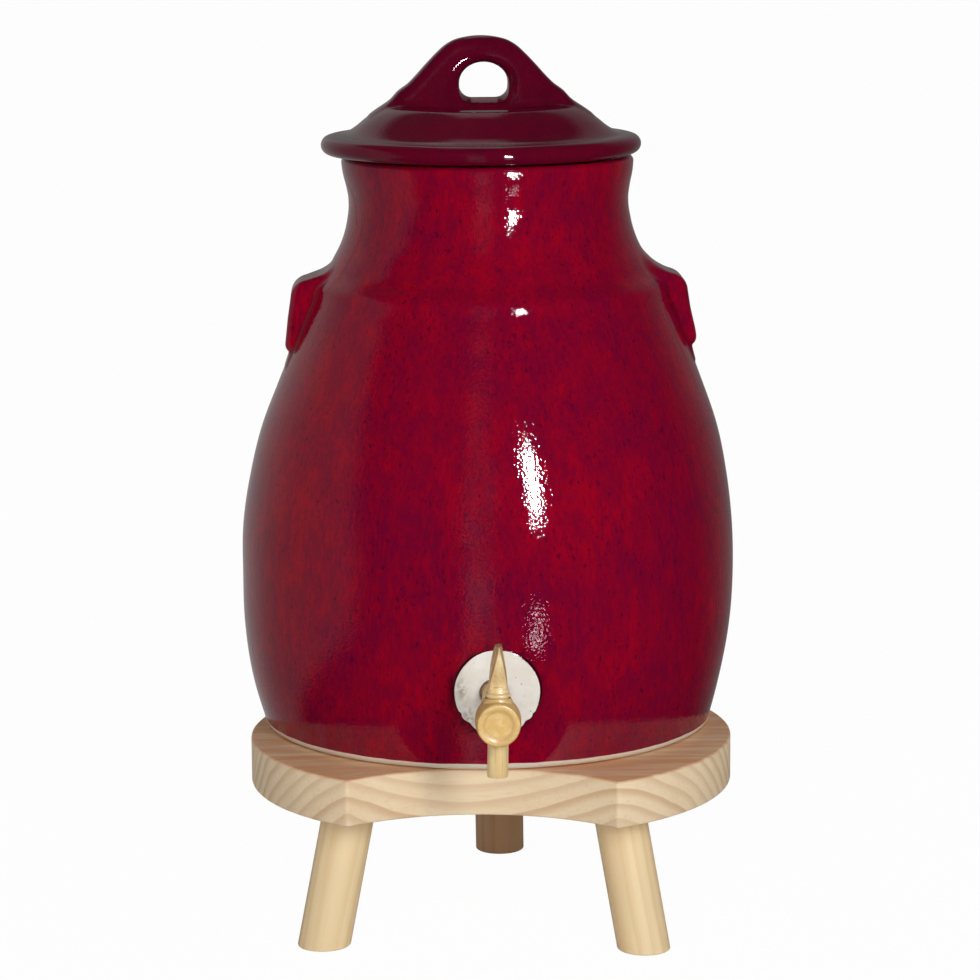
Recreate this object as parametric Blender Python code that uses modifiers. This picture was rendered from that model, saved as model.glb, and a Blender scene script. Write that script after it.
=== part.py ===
"""A stoneware vinegar crock with a lid and a wooden tap, set on a three-legged pine stand.

Lengths are in metres, +Z is up and the tap points along -Y. The origin is on the floor, under the middle of the
whole object's box. The crock, the lid, the tap and its key each hang from an empty that stands where that piece
seats or turns, and every profile below is written in its own empty's frame.
"""

import math

import bmesh
import bpy
from mathutils import Matrix, Vector

# Clearances and cuts
GAP = 0.0003
OVERRUN = 0.003
MERGE_DISTANCE = 0.00001

# Crock: radii are outside ones, heights are above its foot
BELLY_RADIUS = 0.109
BELLY_HEIGHT = 0.066
FOOT_RADIUS = 0.0988
FOOT_EDGE = 0.003
FOOT_RING_WIDTH = 0.014
FOOT_RECESS = 0.0025
SHOULDER_RADIUS = 0.0765
SHOULDER_HEIGHT = 0.193
SHOULDER_BEAD = 0.0011
SHOULDER_BEAD_WIDTH = 0.0036
NECK_RADIUS = 0.0611
NECK_HEIGHT = 0.232
LIP_FLARE = 0.0027
LIP_RISE = 0.0168
LIP_EDGE = 0.0025
CROCK_WALL = 0.007
CROCK_FLOOR = 0.009
FLOOR_CORNER = 0.012
# Rise from foot to belly
LOWER_BELLY_SHARES = (0.0, 0.25, 0.5, 0.75, 1.0)
# Rise from belly to shoulder, and the share of the fall in radius reached there
UPPER_BELLY_SHARES = ((0.18, 0.015), (0.35, 0.105), (0.52, 0.255), (0.69, 0.50), (0.84, 0.735))
# Rise from shoulder to neck, and the share of the fall in radius reached there
NECK_CURVE_SHARES = ((0.18, 0.28), (0.35, 0.51), (0.49, 0.70), (0.63, 0.84), (0.80, 0.945))
# Rise from neck to lip, and the share of the flare reached there
LIP_CURVE_SHARES = ((0.4, 0.35), (0.75, 0.84), (1.0, 1.0))
# Heights of the rings of the inner wall, as shares of the crock's height
INNER_WALL_SHARES = (0.14, 0.28, 0.42, 0.54, 0.66, 0.76, 0.84, 0.92)

# Ears: two solid lugs on the shoulder
EAR_RISE = 0.0105
EAR_FALL = 0.0315
EAR_TOP_DROP = 0.0035
EAR_TOP_PROUD = 0.0111
EAR_LOW_PROUD = 0.0137
EAR_FACE_HEIGHT = 0.0325
EAR_CORNER = 0.008
EAR_ROOT_WIDTH = 0.032
EAR_TIP_WIDTH = 0.025
EAR_EDGE = 0.003
EAR_LEFT_DROP = 0.0015
EAR_ROOT_SHARES = (0.0, 0.25, 0.5, 0.75, 1.0)

# Boss that carries the tap, and the cork bung in it
TAP_HEIGHT = 0.036
BOSS_RADIUS = 0.0184
BOSS_STEP = 0.0006
BOSS_EDGE = 0.0008
CORK_WALL = 0.0015
CORK_PROUD = 0.003
CORK_LENGTH = 0.024
CORK_EDGE = 0.0005
# How far the cork and the tap sit off the boss's middle, towards the right
TAP_SHIFT = -0.0014

# Tap: each length runs back from the one before it, starting at the front face
FACE_RADIUS = 0.0087
FACE_RIM = 0.0022
FACE_EDGE = 0.0007
FACE_DISH = 0.0009
KEY_SETBACK = 0.010
BARREL_RADIUS = 0.0094
COVE_LENGTH = 0.0125
COVE_RADIUS = 0.0059
COVE_TO_BEAD = 0.0065
BEAD_RADIUS = 0.0069
BEAD_WIDTH = 0.005
SHANK_SHOWING = 0.0235
SHANK_RADIUS = 0.0050
SHANK_TIP_RADIUS = 0.0043
SHANK_PAST_CORK = 0.003
SHANK_EDGE = 0.0008
BORE_RADIUS = 0.0025
# Way from the face to the key's axis, and the share of the barrel's swelling reached there
FACE_TAPER_SHARES = (0.5, 0.75)
# Way from the key's axis to the cove
COVE_SHARES = (0.35, 0.7)
# Way from the bead to the cork where the shank's own taper starts
SHANK_START_SHARE = 0.25

# Key: heights stack up from the barrel's top, the spout hangs below the barrel
PLUG_TOP_RADIUS = 0.00475
PLUG_LOW_RADIUS = 0.00425
SLEEVE_WALL = 0.0012
COLLAR_PROUD = 0.00045
COLLAR_HEIGHT = 0.0019
COLLAR_EDGE = 0.0005
THROAT_LOW_RADIUS = 0.0047
THROAT_TOP_RADIUS = 0.0036
THROAT_HEIGHT = 0.0032
BLADE_HEIGHT = 0.0176
BLADE_WIDTH = 0.0165
BLADE_ROOT_THICKNESS = 0.0074
BLADE_TIP_THICKNESS = 0.0028
BLADE_EDGE = 0.0009
SPOUT_LENGTH = 0.0139
SPOUT_BORE_RADIUS = 0.0022
# Way up the throat where the blade starts
BLADE_ROOT_SHARE = 0.6
# Height of the blade above its root, and the share of its width reached there
BLADE_OUTLINE_SHARES = (
    (0.0, 0.36), (0.12, 0.40), (0.28, 0.62), (0.46, 0.87), (0.64, 1.0), (0.80, 0.95), (0.92, 0.72), (1.0, 0.36),
)

# Lid: radii are about its own middle, heights are above its seat on the lip
LID_PLAY = 0.003
LID_OVERHANG = 0.0061
LID_RIM_THICKNESS = 0.0086
LID_SEAT_SLOPE = 0.0008
LID_FLANGE = 0.0081
DOME_SLOPE = 0.0198
DOME_HEIGHT = 0.021
DOME_HOLLOW = 0.0016
LID_WALL = 0.006
SKIRT_DEPTH = 0.0105
SKIRT_WALL = 0.005
SKIRT_EDGE = 0.0012
# How far the lid sits off the crock's axis, as a share of its play
LID_SHIFT_SHARE = -0.63
# Way in from the groove to the dome's top, and the share of the rise reached there
DOME_SHARES = ((0.10, 0.04), (0.22, 0.14), (0.36, 0.29), (0.53, 0.52), (0.68, 0.71), (0.84, 0.88))
# Radius on the dome's top, and the share of its hollow reached there
DOME_TOP_SHARES = ((1.0, 0.0), (0.72, -0.25), (0.36, 0.5), (0.0, 1.0))
# Radius inside the skirt, and the share of the ceiling's height there
CEILING_SHARES = ((0.0, 1.0), (0.66, 1.0), (0.84, 0.72), (1.0, 0.2))
HANDLE_RISE = 0.0306
HANDLE_SINK = 0.0043
HANDLE_SPREAD = 0.005
HANDLE_TOP_THICKNESS = 0.0135
HANDLE_ROOT_THICKNESS = 0.021
HANDLE_EDGE = 0.0042
HOLE_WIDTH = 0.0213
HOLE_SILL = 0.0039
HOLE_HEIGHT = 0.0154
HOLE_CORNER = 0.004
HOLE_SHIFT = 0.0012
# Height of the hole where its arch springs
HOLE_SPRING_SHARE = 0.41
# Fall from the handle's top to its root, and the share of its reach at that height
HANDLE_OUTLINE_SHARES = (
    (0.0, 0.0), (0.015, 0.13), (0.06, 0.255), (0.13, 0.34), (0.21, 0.405), (0.36, 0.512), (0.51, 0.612),
    (0.60, 0.68), (0.69, 0.77), (0.78, 0.83), (0.86, 0.885), (1.0, 1.0),
)

# Stand: a round board with a scoop in its front edge, on three splayed dowels
BOARD_RADIUS = 0.1056
BOARD_THICKNESS = 0.0203
BOARD_EDGE = 0.0013
SCOOP_RADIUS = 0.087
SCOOP_DEPTH = 0.0375
STAND_HEIGHT = 0.080
LEG_RADIUS = 0.0112
LEG_INSET = 0.0281
LEG_EDGE = 0.0008
LEG_SPLAY = math.radians(14)
# Which way each leg leans, in degrees from the stand's front towards its right
LEG_ANGLES = {"leg_front_left": -49, "leg_front_right": 47, "leg_back": 180}
STAND_TURN = math.radians(-4.3)
CROCK_SETBACK = 0.027
# Depth of a leg's blind hole in the board's thickness
TENON_SHARE = 0.6

# Facets
CROCK_STEPS = 64
LID_STEPS = 56
TAP_STEPS = 28
BOARD_STEPS = 96
LEG_STEPS = 28
ARC_STEPS = 3

# Finishes: colour, roughness and coat
RED_GLAZE = ((0.30, 0.004, 0.012), 0.12, 0.6)
LID_GLAZE = ((0.16, 0.005, 0.014), 0.14, 0.6)
CORK = ((0.42, 0.23, 0.11), 0.9, 0.0)
TURNED_WOOD = ((0.72, 0.47, 0.20), 0.5, 0.0)
PINE = ((0.78, 0.60, 0.38), 0.55, 0.0)


def between(low, high, share):
    """The value that lies this share of the way from low to high."""
    return low + (high - low) * share


def arc(centre, radius, start, end, steps=ARC_STEPS):
    """Points along a circular arc in the plane of a profile, angles in degrees from +X."""
    angles = [math.radians(between(start, end, i / steps)) for i in range(steps + 1)]
    return [(centre[0] + radius * math.cos(a), centre[1] + radius * math.sin(a)) for a in angles]


def value_along(knots, place):
    """A smooth curve through knots of (place, value), read at one place; it runs level past both ends."""
    if place <= knots[0][0]:
        return knots[0][1]
    if place >= knots[-1][0]:
        return knots[-1][1]
    last = len(knots) - 1
    slopes = []
    for i in range(len(knots)):
        before, after = knots[max(i - 1, 0)], knots[min(i + 1, last)]
        slopes.append((after[1] - before[1]) / (after[0] - before[0]))
    i = max(n for n in range(last) if knots[n][0] <= place)
    (x0, y0), (x1, y1) = knots[i], knots[i + 1]
    span = x1 - x0
    t = (place - x0) / span
    bend0, bend1 = slopes[i] * span, slopes[i + 1] * span
    return (
        (2 * t**3 - 3 * t**2 + 1) * y0
        + (t**3 - 2 * t**2 + t) * bend0
        + (3 * t**2 - 2 * t**3) * y1
        + (t**3 - t**2) * bend1
    )


def curve_between(low, high, shares):
    """Knots of (place, value) between two ends, from shares of the way and of the change in value."""
    (place0, value0), (place1, value1) = low, high
    return [(between(place0, place1, way), between(value0, value1, change)) for way, change in shares]


def wall_knots():
    """Places on the crock's outer wall, as (height, radius) from the foot up to the lip."""
    foot_to_belly = [(share, 1 - (1 - share) ** 2) for share in LOWER_BELLY_SHARES]
    belly, shoulder = (BELLY_HEIGHT, BELLY_RADIUS), (SHOULDER_HEIGHT, SHOULDER_RADIUS)
    neck, lip = (NECK_HEIGHT, NECK_RADIUS), (LIP_HEIGHT, LIP_RADIUS)
    knots = curve_between((0, FOOT_RADIUS), belly, foot_to_belly)
    knots += curve_between(belly, shoulder, UPPER_BELLY_SHARES) + [shoulder]
    knots += curve_between(shoulder, neck, NECK_CURVE_SHARES) + [neck]
    return knots + curve_between(neck, lip, LIP_CURVE_SHARES)


def wall_radius(height):
    """Outside radius of the crock's wall at a height above its foot."""
    return value_along(wall_knots(), height)


# Places that follow from the sizes above: the crock and its ears
LIP_RADIUS = NECK_RADIUS + LIP_FLARE
LIP_HEIGHT = NECK_HEIGHT + LIP_RISE
CROCK_HEIGHT = LIP_HEIGHT + LIP_EDGE
EAR_TOP = SHOULDER_HEIGHT + EAR_RISE
EAR_BOTTOM = SHOULDER_HEIGHT - EAR_FALL
EAR_LOW_REACH = SHOULDER_RADIUS + EAR_LOW_PROUD

# The tap and its key: setbacks are from the tap's face, heights are above its axis
COVE_SETBACK = KEY_SETBACK + COVE_LENGTH
BEAD_SETBACK = COVE_SETBACK + COVE_TO_BEAD
BEAD_END = BEAD_SETBACK + BEAD_WIDTH / 2
CORK_SETBACK = BEAD_END + SHANK_SHOWING
TAP_LENGTH = CORK_SETBACK + CORK_LENGTH + SHANK_PAST_CORK
BOSS_REACH = wall_radius(TAP_HEIGHT + BOSS_RADIUS) + BOSS_STEP
CORK_REACH = BOSS_REACH + CORK_PROUD
TAP_REACH = CORK_REACH + CORK_SETBACK
KEY_REACH = TAP_REACH - KEY_SETBACK
COLLAR_LOW = BARREL_RADIUS + GAP
THROAT_LOW = COLLAR_LOW + COLLAR_HEIGHT
BLADE_ROOT = THROAT_LOW + THROAT_HEIGHT * BLADE_ROOT_SHARE
BLADE_TOP = BLADE_ROOT + BLADE_HEIGHT
SPOUT_DROP = BARREL_RADIUS + SPOUT_LENGTH

# The lid
LID_SHIFT = LID_PLAY * LID_SHIFT_SHARE
LID_RIM_RADIUS = LIP_RADIUS + LID_OVERHANG
GROOVE_RADIUS = LID_RIM_RADIUS - LID_FLANGE
DOME_TOP_RADIUS = GROOVE_RADIUS - DOME_SLOPE
SKIRT_RADIUS = NECK_RADIUS - CROCK_WALL - LID_PLAY
HANDLE_TOP = DOME_HEIGHT + HANDLE_RISE
HANDLE_ROOT = DOME_HEIGHT - HANDLE_SINK
HANDLE_REACH = DOME_TOP_RADIUS + HANDLE_SPREAD
HOLE_BOTTOM = DOME_HEIGHT + HOLE_SILL

# The stand, and the places of stand and crock that centre the whole on the origin
LEG_ROOT_RADIUS = BOARD_RADIUS - LEG_INSET
LEG_TENON = BOARD_THICKNESS * TENON_SHARE
BOARD_LOW = STAND_HEIGHT - BOARD_THICKNESS
CROCK_Y = (TAP_REACH - BELLY_RADIUS) / 2
STAND_Y = CROCK_Y - CROCK_SETBACK


def clear_scene():
    """Remove every object of the scene."""
    for obj in list(bpy.data.objects):
        bpy.data.objects.remove(obj)


def new_collection(name):
    """Make a collection in the scene."""
    made = bpy.data.collections.new(name)
    bpy.context.scene.collection.children.link(made)
    return made


def new_material(name, colour, roughness, coat):
    """Make a Principled material with one colour."""
    made = bpy.data.materials.new(name)
    made.use_nodes = True
    shader = made.node_tree.nodes["Principled BSDF"]
    shader.inputs["Base Color"].default_value = (*colour, 1.0)
    shader.inputs["Roughness"].default_value = roughness
    shader.inputs["Metallic"].default_value = 0.0
    shader.inputs["Coat Weight"].default_value = coat
    made.diffuse_color = (*colour, 1.0)
    return made


def new_empty(name, parent, location):
    """Make an empty at a place in its parent's frame."""
    made = bpy.data.objects.new(name, None)
    made.parent = parent
    made.location = location
    PARTS.objects.link(made)
    return made


def add_object(name, bm, parent, cutter=False):
    """Turn a bmesh into an object under an empty, in the parts or the cutters."""
    mesh = bpy.data.meshes.new(name)
    bm.to_mesh(mesh)
    bm.free()
    made = bpy.data.objects.new(name, mesh)
    made.parent = parent
    (CUTTERS if cutter else PARTS).objects.link(made)
    if cutter:
        made.hide_render = True
        made.display_type = "WIRE"
    return made


def turned(name, profile, steps, parent, cutter=False):
    """Turn a profile of (radius, height) round Z; it runs down its outer side from the top."""
    bm = bmesh.new()
    points = [bm.verts.new((radius, 0, height)) for radius, height in profile]
    for first, second in zip(points, points[1:]):
        bm.edges.new((first, second))
    made = add_object(name, bm, parent, cutter)
    screw = made.modifiers.new("turning", "SCREW")
    screw.steps = steps
    screw.render_steps = steps
    screw.use_merge_vertices = True
    screw.merge_threshold = MERGE_DISTANCE
    return made


def turned_disc(name, radius, low, high, steps, parent, cutter=False):
    """A plain round block from one height to another."""
    return turned(name, [(0, high), (radius, high), (radius, low), (0, low)], steps, parent, cutter)


def flat_outline(name, outline, depth, parent, cutter=False):
    """A plate in the XZ plane from an outline, as a closed mesh."""
    curve = bpy.data.curves.new(name, "CURVE")
    curve.dimensions = "2D"
    curve.fill_mode = "BOTH"
    curve.extrude = depth / 2
    spline = curve.splines.new("POLY")
    spline.points.add(len(outline) - 1)
    for place, (x, z) in zip(spline.points, outline):
        place.co = (x, z, 0, 1)
    spline.use_cyclic_u = True
    shape = bpy.data.objects.new(name, curve)
    CUTTERS.objects.link(shape)
    bpy.context.view_layer.update()
    mesh = bpy.data.meshes.new_from_object(shape.evaluated_get(bpy.context.evaluated_depsgraph_get()))
    bpy.data.objects.remove(shape)
    bm = bmesh.new()
    bm.from_mesh(mesh)
    bpy.data.meshes.remove(mesh)
    bmesh.ops.remove_doubles(bm, verts=bm.verts, dist=MERGE_DISTANCE)
    bmesh.ops.rotate(bm, verts=bm.verts, matrix=Matrix.Rotation(math.radians(90), 3, "X"))
    bmesh.ops.recalc_face_normals(bm, faces=bm.faces)
    return add_object(name, bm, parent, cutter)


def reshape(obj, rule):
    """Move every point of a mesh by a rule of its place."""
    for point in obj.data.vertices:
        point.co = rule(point.co.copy())


def combine(target, other, operation):
    """Join, cut or intersect a piece with another mesh."""
    made = target.modifiers.new(other.name, "BOOLEAN")
    made.operation = operation
    made.solver = "EXACT"
    made.object = other


def soften(obj, width, segments=2, angle=40):
    """Round the sharp edges of a piece."""
    made = obj.modifiers.new("soft_edges", "BEVEL")
    made.width = width
    made.segments = segments
    made.limit_method = "ANGLE"
    made.angle_limit = math.radians(angle)
    made.use_clamp_overlap = True


def finish(obj, material):
    """Give a piece its material and shade it smooth across shallow edges."""
    obj.data.materials.clear()
    obj.data.materials.append(material)
    obj.data.shade_smooth()
    obj.data.set_sharp_from_angle(angle=math.radians(35))


def crock_profile():
    """The crock's section: from the middle of its floor up the inside, over the lip and down to its foot."""
    corner_top = CROCK_FLOOR + FLOOR_CORNER
    floor_edge = wall_radius(corner_top) - CROCK_WALL
    inside = [(0, CROCK_FLOOR)] + arc((floor_edge - FLOOR_CORNER, corner_top), FLOOR_CORNER, -90, 0)
    for share in INNER_WALL_SHARES:
        height = CROCK_HEIGHT * share
        if height > corner_top:
            inside.append((wall_radius(height) - CROCK_WALL, height))
    lip = arc((LIP_RADIUS - CROCK_WALL + LIP_EDGE, LIP_HEIGHT), LIP_EDGE, 180, 90)
    lip += arc((LIP_RADIUS - LIP_EDGE, LIP_HEIGHT), LIP_EDGE, 90, 0)
    outside = []
    heights = [height for height, _ in wall_knots()[1:-1]] + [SHOULDER_HEIGHT - SHOULDER_BEAD_WIDTH]
    for height in sorted(heights, reverse=True):
        bead = SHOULDER_BEAD if height == SHOULDER_HEIGHT else 0
        outside.append((wall_radius(height) + bead, height))
    foot_side = wall_radius(FOOT_EDGE) - FOOT_EDGE
    foot = arc((foot_side, FOOT_EDGE), FOOT_EDGE, 0, -90)
    ring_inside = foot_side - FOOT_RING_WIDTH
    foot += [(ring_inside, 0), (ring_inside - FOOT_RECESS, FOOT_RECESS), (0, FOOT_RECESS)]
    return inside + lip + outside + foot


def ear_root(height):
    """Where an ear ends inside the wall: halfway between the bulge of its outer side and its inner side."""
    radius = wall_radius(height)
    bulge = radius - math.sqrt(radius**2 - (EAR_ROOT_WIDTH / 2) ** 2)
    return radius - (CROCK_WALL + bulge) / 2


def ear_outline():
    """An ear's section through the crock's axis, with its root inside the wall."""
    top_reach = SHOULDER_RADIUS + EAR_TOP_PROUD
    outline = [(wall_radius(EAR_TOP), EAR_TOP)]
    outline += arc((top_reach - EAR_CORNER, EAR_TOP - EAR_TOP_DROP - EAR_CORNER), EAR_CORNER, 80, 0)
    outline += [(EAR_LOW_REACH, EAR_TOP - EAR_FACE_HEIGHT), (wall_radius(EAR_BOTTOM), EAR_BOTTOM)]
    for share in EAR_ROOT_SHARES:
        height = between(EAR_BOTTOM, EAR_TOP, share)
        outline.append((ear_root(height), height))
    return outline


def add_ear(side, crock, seat):
    """Join an ear to one side of the crock; it narrows from its root to its outer face."""
    outline = [(side * x, z) for x, z in ear_outline()]
    name = "ear_right" if side > 0 else "ear_left"
    ear = flat_outline(name, outline, EAR_ROOT_WIDTH, seat, cutter=True)
    ear.location = (0, 0, -EAR_LEFT_DROP if side < 0 else 0)
    root = wall_radius(EAR_TOP)

    def narrow(place):
        share = min(max((abs(place.x) - root) / (EAR_LOW_REACH - root), 0.0), 1.0)
        place.y *= between(1.0, EAR_TIP_WIDTH / EAR_ROOT_WIDTH, share)
        return place

    reshape(ear, narrow)
    soften(ear, EAR_EDGE)
    combine(crock, ear, "UNION")


def lay_forward(obj, height, shift=0):
    """Lay a turned piece along Y at a height, with its top facing forwards."""
    obj.rotation_euler = (math.radians(90), 0, 0)
    obj.location = (shift, 0, height)


def cork_radius(reach):
    """The cork's outside radius at a distance from the crock's axis."""
    return shank_radius(TAP_REACH - reach) + GAP + CORK_WALL


def build_crock(seat):
    """The hollow crock with its ears, its boss and the hole for the cork."""
    crock = turned("crock_body", crock_profile(), CROCK_STEPS, seat)
    for side in (-1, 1):
        add_ear(side, crock, seat)
    wall_below, wall_above = wall_radius(TAP_HEIGHT - BOSS_RADIUS), wall_radius(TAP_HEIGHT + BOSS_RADIUS)
    boss_root = (wall_below + wall_above - CROCK_WALL) / 2
    boss_profile = [
        (0, BOSS_REACH), (BOSS_RADIUS - BOSS_EDGE, BOSS_REACH), (BOSS_RADIUS, BOSS_REACH - BOSS_EDGE),
        (BOSS_RADIUS, boss_root), (0, boss_root),
    ]
    boss = turned("boss", boss_profile, LID_STEPS, seat, cutter=True)
    lay_forward(boss, TAP_HEIGHT)
    combine(crock, boss, "UNION")
    hole_out, hole_in = BOSS_REACH + OVERRUN, wall_below - CROCK_WALL - OVERRUN
    hole_profile = [(0, hole_out), (cork_radius(hole_out) + GAP, hole_out), (cork_radius(hole_in) + GAP, hole_in)]
    hole = turned("cork_hole", hole_profile + [(0, hole_in)], TAP_STEPS, seat, cutter=True)
    lay_forward(hole, TAP_HEIGHT, TAP_SHIFT)
    combine(crock, hole, "DIFFERENCE")
    finish(crock, new_material("red_glaze", *RED_GLAZE))


def shank_radius(setback):
    """The tap's shank radius at a distance back from its front face."""
    return between(SHANK_RADIUS, SHANK_TIP_RADIUS, (setback - CORK_SETBACK) / (TAP_LENGTH - CORK_SETBACK))


def build_cork(seat):
    """The cork bung: a tapered ring between the crock's wall and the tap's shank."""
    back = CORK_REACH - CORK_LENGTH
    hole_back, hole_front = cork_radius(back) - CORK_WALL, cork_radius(CORK_REACH) - CORK_WALL
    profile = [
        (hole_back, back), (hole_front, CORK_REACH), (cork_radius(CORK_REACH) - CORK_EDGE, CORK_REACH),
        (cork_radius(CORK_REACH), CORK_REACH - CORK_EDGE), (cork_radius(back), back), (hole_back, back),
    ]
    cork = turned("tap_cork", profile, TAP_STEPS, seat)
    lay_forward(cork, TAP_HEIGHT, TAP_SHIFT)
    finish(cork, new_material("cork", *CORK))


def tap_profile():
    """The tap's outline from the middle of its face, as (radius, distance back), without its bore."""
    rim = FACE_RADIUS - FACE_RIM
    outline = [(0, FACE_DISH), (rim, FACE_DISH), (rim + FACE_EDGE, 0), (FACE_RADIUS - FACE_EDGE, 0)]
    way, swelling = FACE_TAPER_SHARES
    outline += [(FACE_RADIUS, FACE_EDGE), (between(FACE_RADIUS, BARREL_RADIUS, swelling), KEY_SETBACK * way)]
    outline.append((BARREL_RADIUS, KEY_SETBACK))
    for share in COVE_SHARES:
        setback = between(KEY_SETBACK, COVE_SETBACK, share)
        outline.append((between(BARREL_RADIUS, COVE_RADIUS, share * share), setback))
    outline.append((COVE_RADIUS, COVE_SETBACK))
    outline += arc((BEAD_RADIUS - BEAD_WIDTH / 2, BEAD_SETBACK), BEAD_WIDTH / 2, -70, 70, steps=5)
    shank_start = between(BEAD_END, CORK_SETBACK, SHANK_START_SHARE)
    for setback in (shank_start, CORK_SETBACK, TAP_LENGTH - SHANK_EDGE):
        outline.append((shank_radius(setback), setback))
    outline += [(shank_radius(TAP_LENGTH) - SHANK_EDGE, TAP_LENGTH), (0, TAP_LENGTH)]
    return outline


def plug_radius(height):
    """Radius of the key's tapered plug at a height above the tap's axis."""
    share = (height + BARREL_RADIUS) / (2 * BARREL_RADIUS)
    return between(PLUG_LOW_RADIUS, PLUG_TOP_RADIUS, share)


def sleeve_bore_radius(height):
    """Inside radius of the cork sleeve that the key turns in."""
    return plug_radius(height) + GAP


def key_socket_radius(height):
    """Radius of the socket in the barrel, at a height above the tap's axis."""
    return sleeve_bore_radius(height) + SLEEVE_WALL + GAP


def add_bore(piece, parent, reach):
    """Cut the tap's bore, from its inner end to the key's axis, through a piece whose frame is reach away."""
    back = TAP_REACH - TAP_LENGTH - OVERRUN
    bore = turned_disc(
        piece.name + "_bore", BORE_RADIUS, back - reach, KEY_REACH - reach, TAP_STEPS // 2, parent, cutter=True
    )
    lay_forward(bore, 0)
    combine(piece, bore, "DIFFERENCE")


def build_tap(tap_axis, key_axis):
    """The turned barrel with its shank, bore and key socket, and the cork sleeve in the socket."""
    outline = [(radius, -setback) for radius, setback in tap_profile()]
    tap = turned("tap_body", outline, TAP_STEPS, tap_axis)
    lay_forward(tap, 0)
    top = BARREL_RADIUS + OVERRUN
    socket_profile = [(0, top), (key_socket_radius(top), top), (key_socket_radius(-top), -top), (0, -top)]
    socket = turned("key_socket", socket_profile, TAP_STEPS, key_axis, cutter=True)
    combine(tap, socket, "DIFFERENCE")
    add_bore(tap, tap_axis, TAP_REACH)
    finish(tap, new_material("turned_wood", *TURNED_WOOD))

    sleeve_profile = [
        (sleeve_bore_radius(-top), -top), (sleeve_bore_radius(top), top),
        (key_socket_radius(top) - GAP, top), (key_socket_radius(-top) - GAP, -top),
        (sleeve_bore_radius(-top), -top),
    ]
    sleeve = turned("key_cork_sleeve", sleeve_profile, TAP_STEPS, key_axis)
    half = key_socket_radius(top) + OVERRUN
    trim = turned_disc("sleeve_trim", BARREL_RADIUS - GAP, -half, half, TAP_STEPS, key_axis, cutter=True)
    lay_forward(trim, 0)
    combine(sleeve, trim, "INTERSECT")
    add_bore(sleeve, key_axis, KEY_REACH)
    finish(sleeve, bpy.data.materials["cork"])


def build_key(key_axis):
    """The key: a blade to turn it by, a collar, a tapered plug with a cross port, and the spout below."""
    throat_top = THROAT_LOW + THROAT_HEIGHT
    collar_radius = PLUG_TOP_RADIUS + COLLAR_PROUD
    profile = [
        (0, throat_top), (THROAT_TOP_RADIUS, throat_top), (THROAT_LOW_RADIUS, THROAT_LOW),
        (collar_radius, THROAT_LOW - COLLAR_EDGE), (collar_radius, COLLAR_LOW + COLLAR_EDGE),
        (PLUG_TOP_RADIUS, COLLAR_LOW), (PLUG_LOW_RADIUS, -BARREL_RADIUS), (PLUG_LOW_RADIUS, -SPOUT_DROP),
        (0, -SPOUT_DROP),
    ]
    key = turned("tap_key", profile, TAP_STEPS, key_axis)

    half_width = BLADE_WIDTH / 2
    rise = [(width * half_width, between(BLADE_ROOT, BLADE_TOP, up)) for up, width in BLADE_OUTLINE_SHARES]
    outline = rise + [(-x, z) for x, z in reversed(rise)]
    blade = flat_outline("key_blade", outline, BLADE_ROOT_THICKNESS, key_axis, cutter=True)

    def thin(place):
        share = (place.z - BLADE_ROOT) / BLADE_HEIGHT
        place.y *= between(1.0, BLADE_TIP_THICKNESS / BLADE_ROOT_THICKNESS, share)
        return place

    reshape(blade, thin)
    soften(blade, BLADE_EDGE, segments=1)
    blade.rotation_euler = (0, 0, math.radians(90))
    combine(key, blade, "UNION")

    low = -SPOUT_DROP - OVERRUN
    bore = turned_disc("spout_bore", SPOUT_BORE_RADIUS, low, SPOUT_BORE_RADIUS, TAP_STEPS // 2, key_axis, cutter=True)
    combine(key, bore, "DIFFERENCE")
    port_end = PLUG_TOP_RADIUS + OVERRUN
    port = turned_disc("key_port", SPOUT_BORE_RADIUS, 0, port_end, TAP_STEPS // 2, key_axis, cutter=True)
    port.rotation_euler = (0, math.radians(90), 0)
    combine(key, port, "DIFFERENCE")
    finish(key, bpy.data.materials["turned_wood"])


def lid_profile():
    """The lid's section: its dome, its rim, its locating skirt and its hollow underside, without the handle."""
    dome = [(DOME_TOP_RADIUS * out, DOME_HEIGHT - DOME_HOLLOW * fall) for out, fall in reversed(DOME_TOP_SHARES)]
    groove_height = LID_RIM_THICKNESS + LID_SEAT_SLOPE / 2
    for way_in, rise in reversed(DOME_SHARES):
        radius = between(GROOVE_RADIUS, DOME_TOP_RADIUS, way_in)
        dome.append((radius, between(groove_height, DOME_HEIGHT, rise)))
    dome.append((GROOVE_RADIUS, groove_height))
    rim_round = (LID_RIM_THICKNESS - LID_SEAT_SLOPE) / 2
    rim = arc((LID_RIM_RADIUS - rim_round, LID_SEAT_SLOPE + rim_round), rim_round, 80, -80, steps=7)
    inner = SKIRT_RADIUS - SKIRT_WALL
    ceiling = DOME_HEIGHT - DOME_HOLLOW - LID_WALL
    skirt = [
        (LIP_RADIUS - LIP_EDGE, 0), (SKIRT_RADIUS, 0), (SKIRT_RADIUS, SKIRT_EDGE - SKIRT_DEPTH),
        (SKIRT_RADIUS - SKIRT_EDGE, -SKIRT_DEPTH), (inner, -SKIRT_DEPTH),
    ]
    underside = [(inner * out, ceiling * up) for out, up in reversed(CEILING_SHARES)]
    return dome + rim + skirt + underside


def handle_outline():
    """The handle's outer edge as an arch, seen from the front."""
    side = [(HANDLE_REACH * out, between(HANDLE_TOP, HANDLE_ROOT, fall)) for fall, out in HANDLE_OUTLINE_SHARES]
    return [(-x, z) for x, z in reversed(side[1:])] + side


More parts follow.
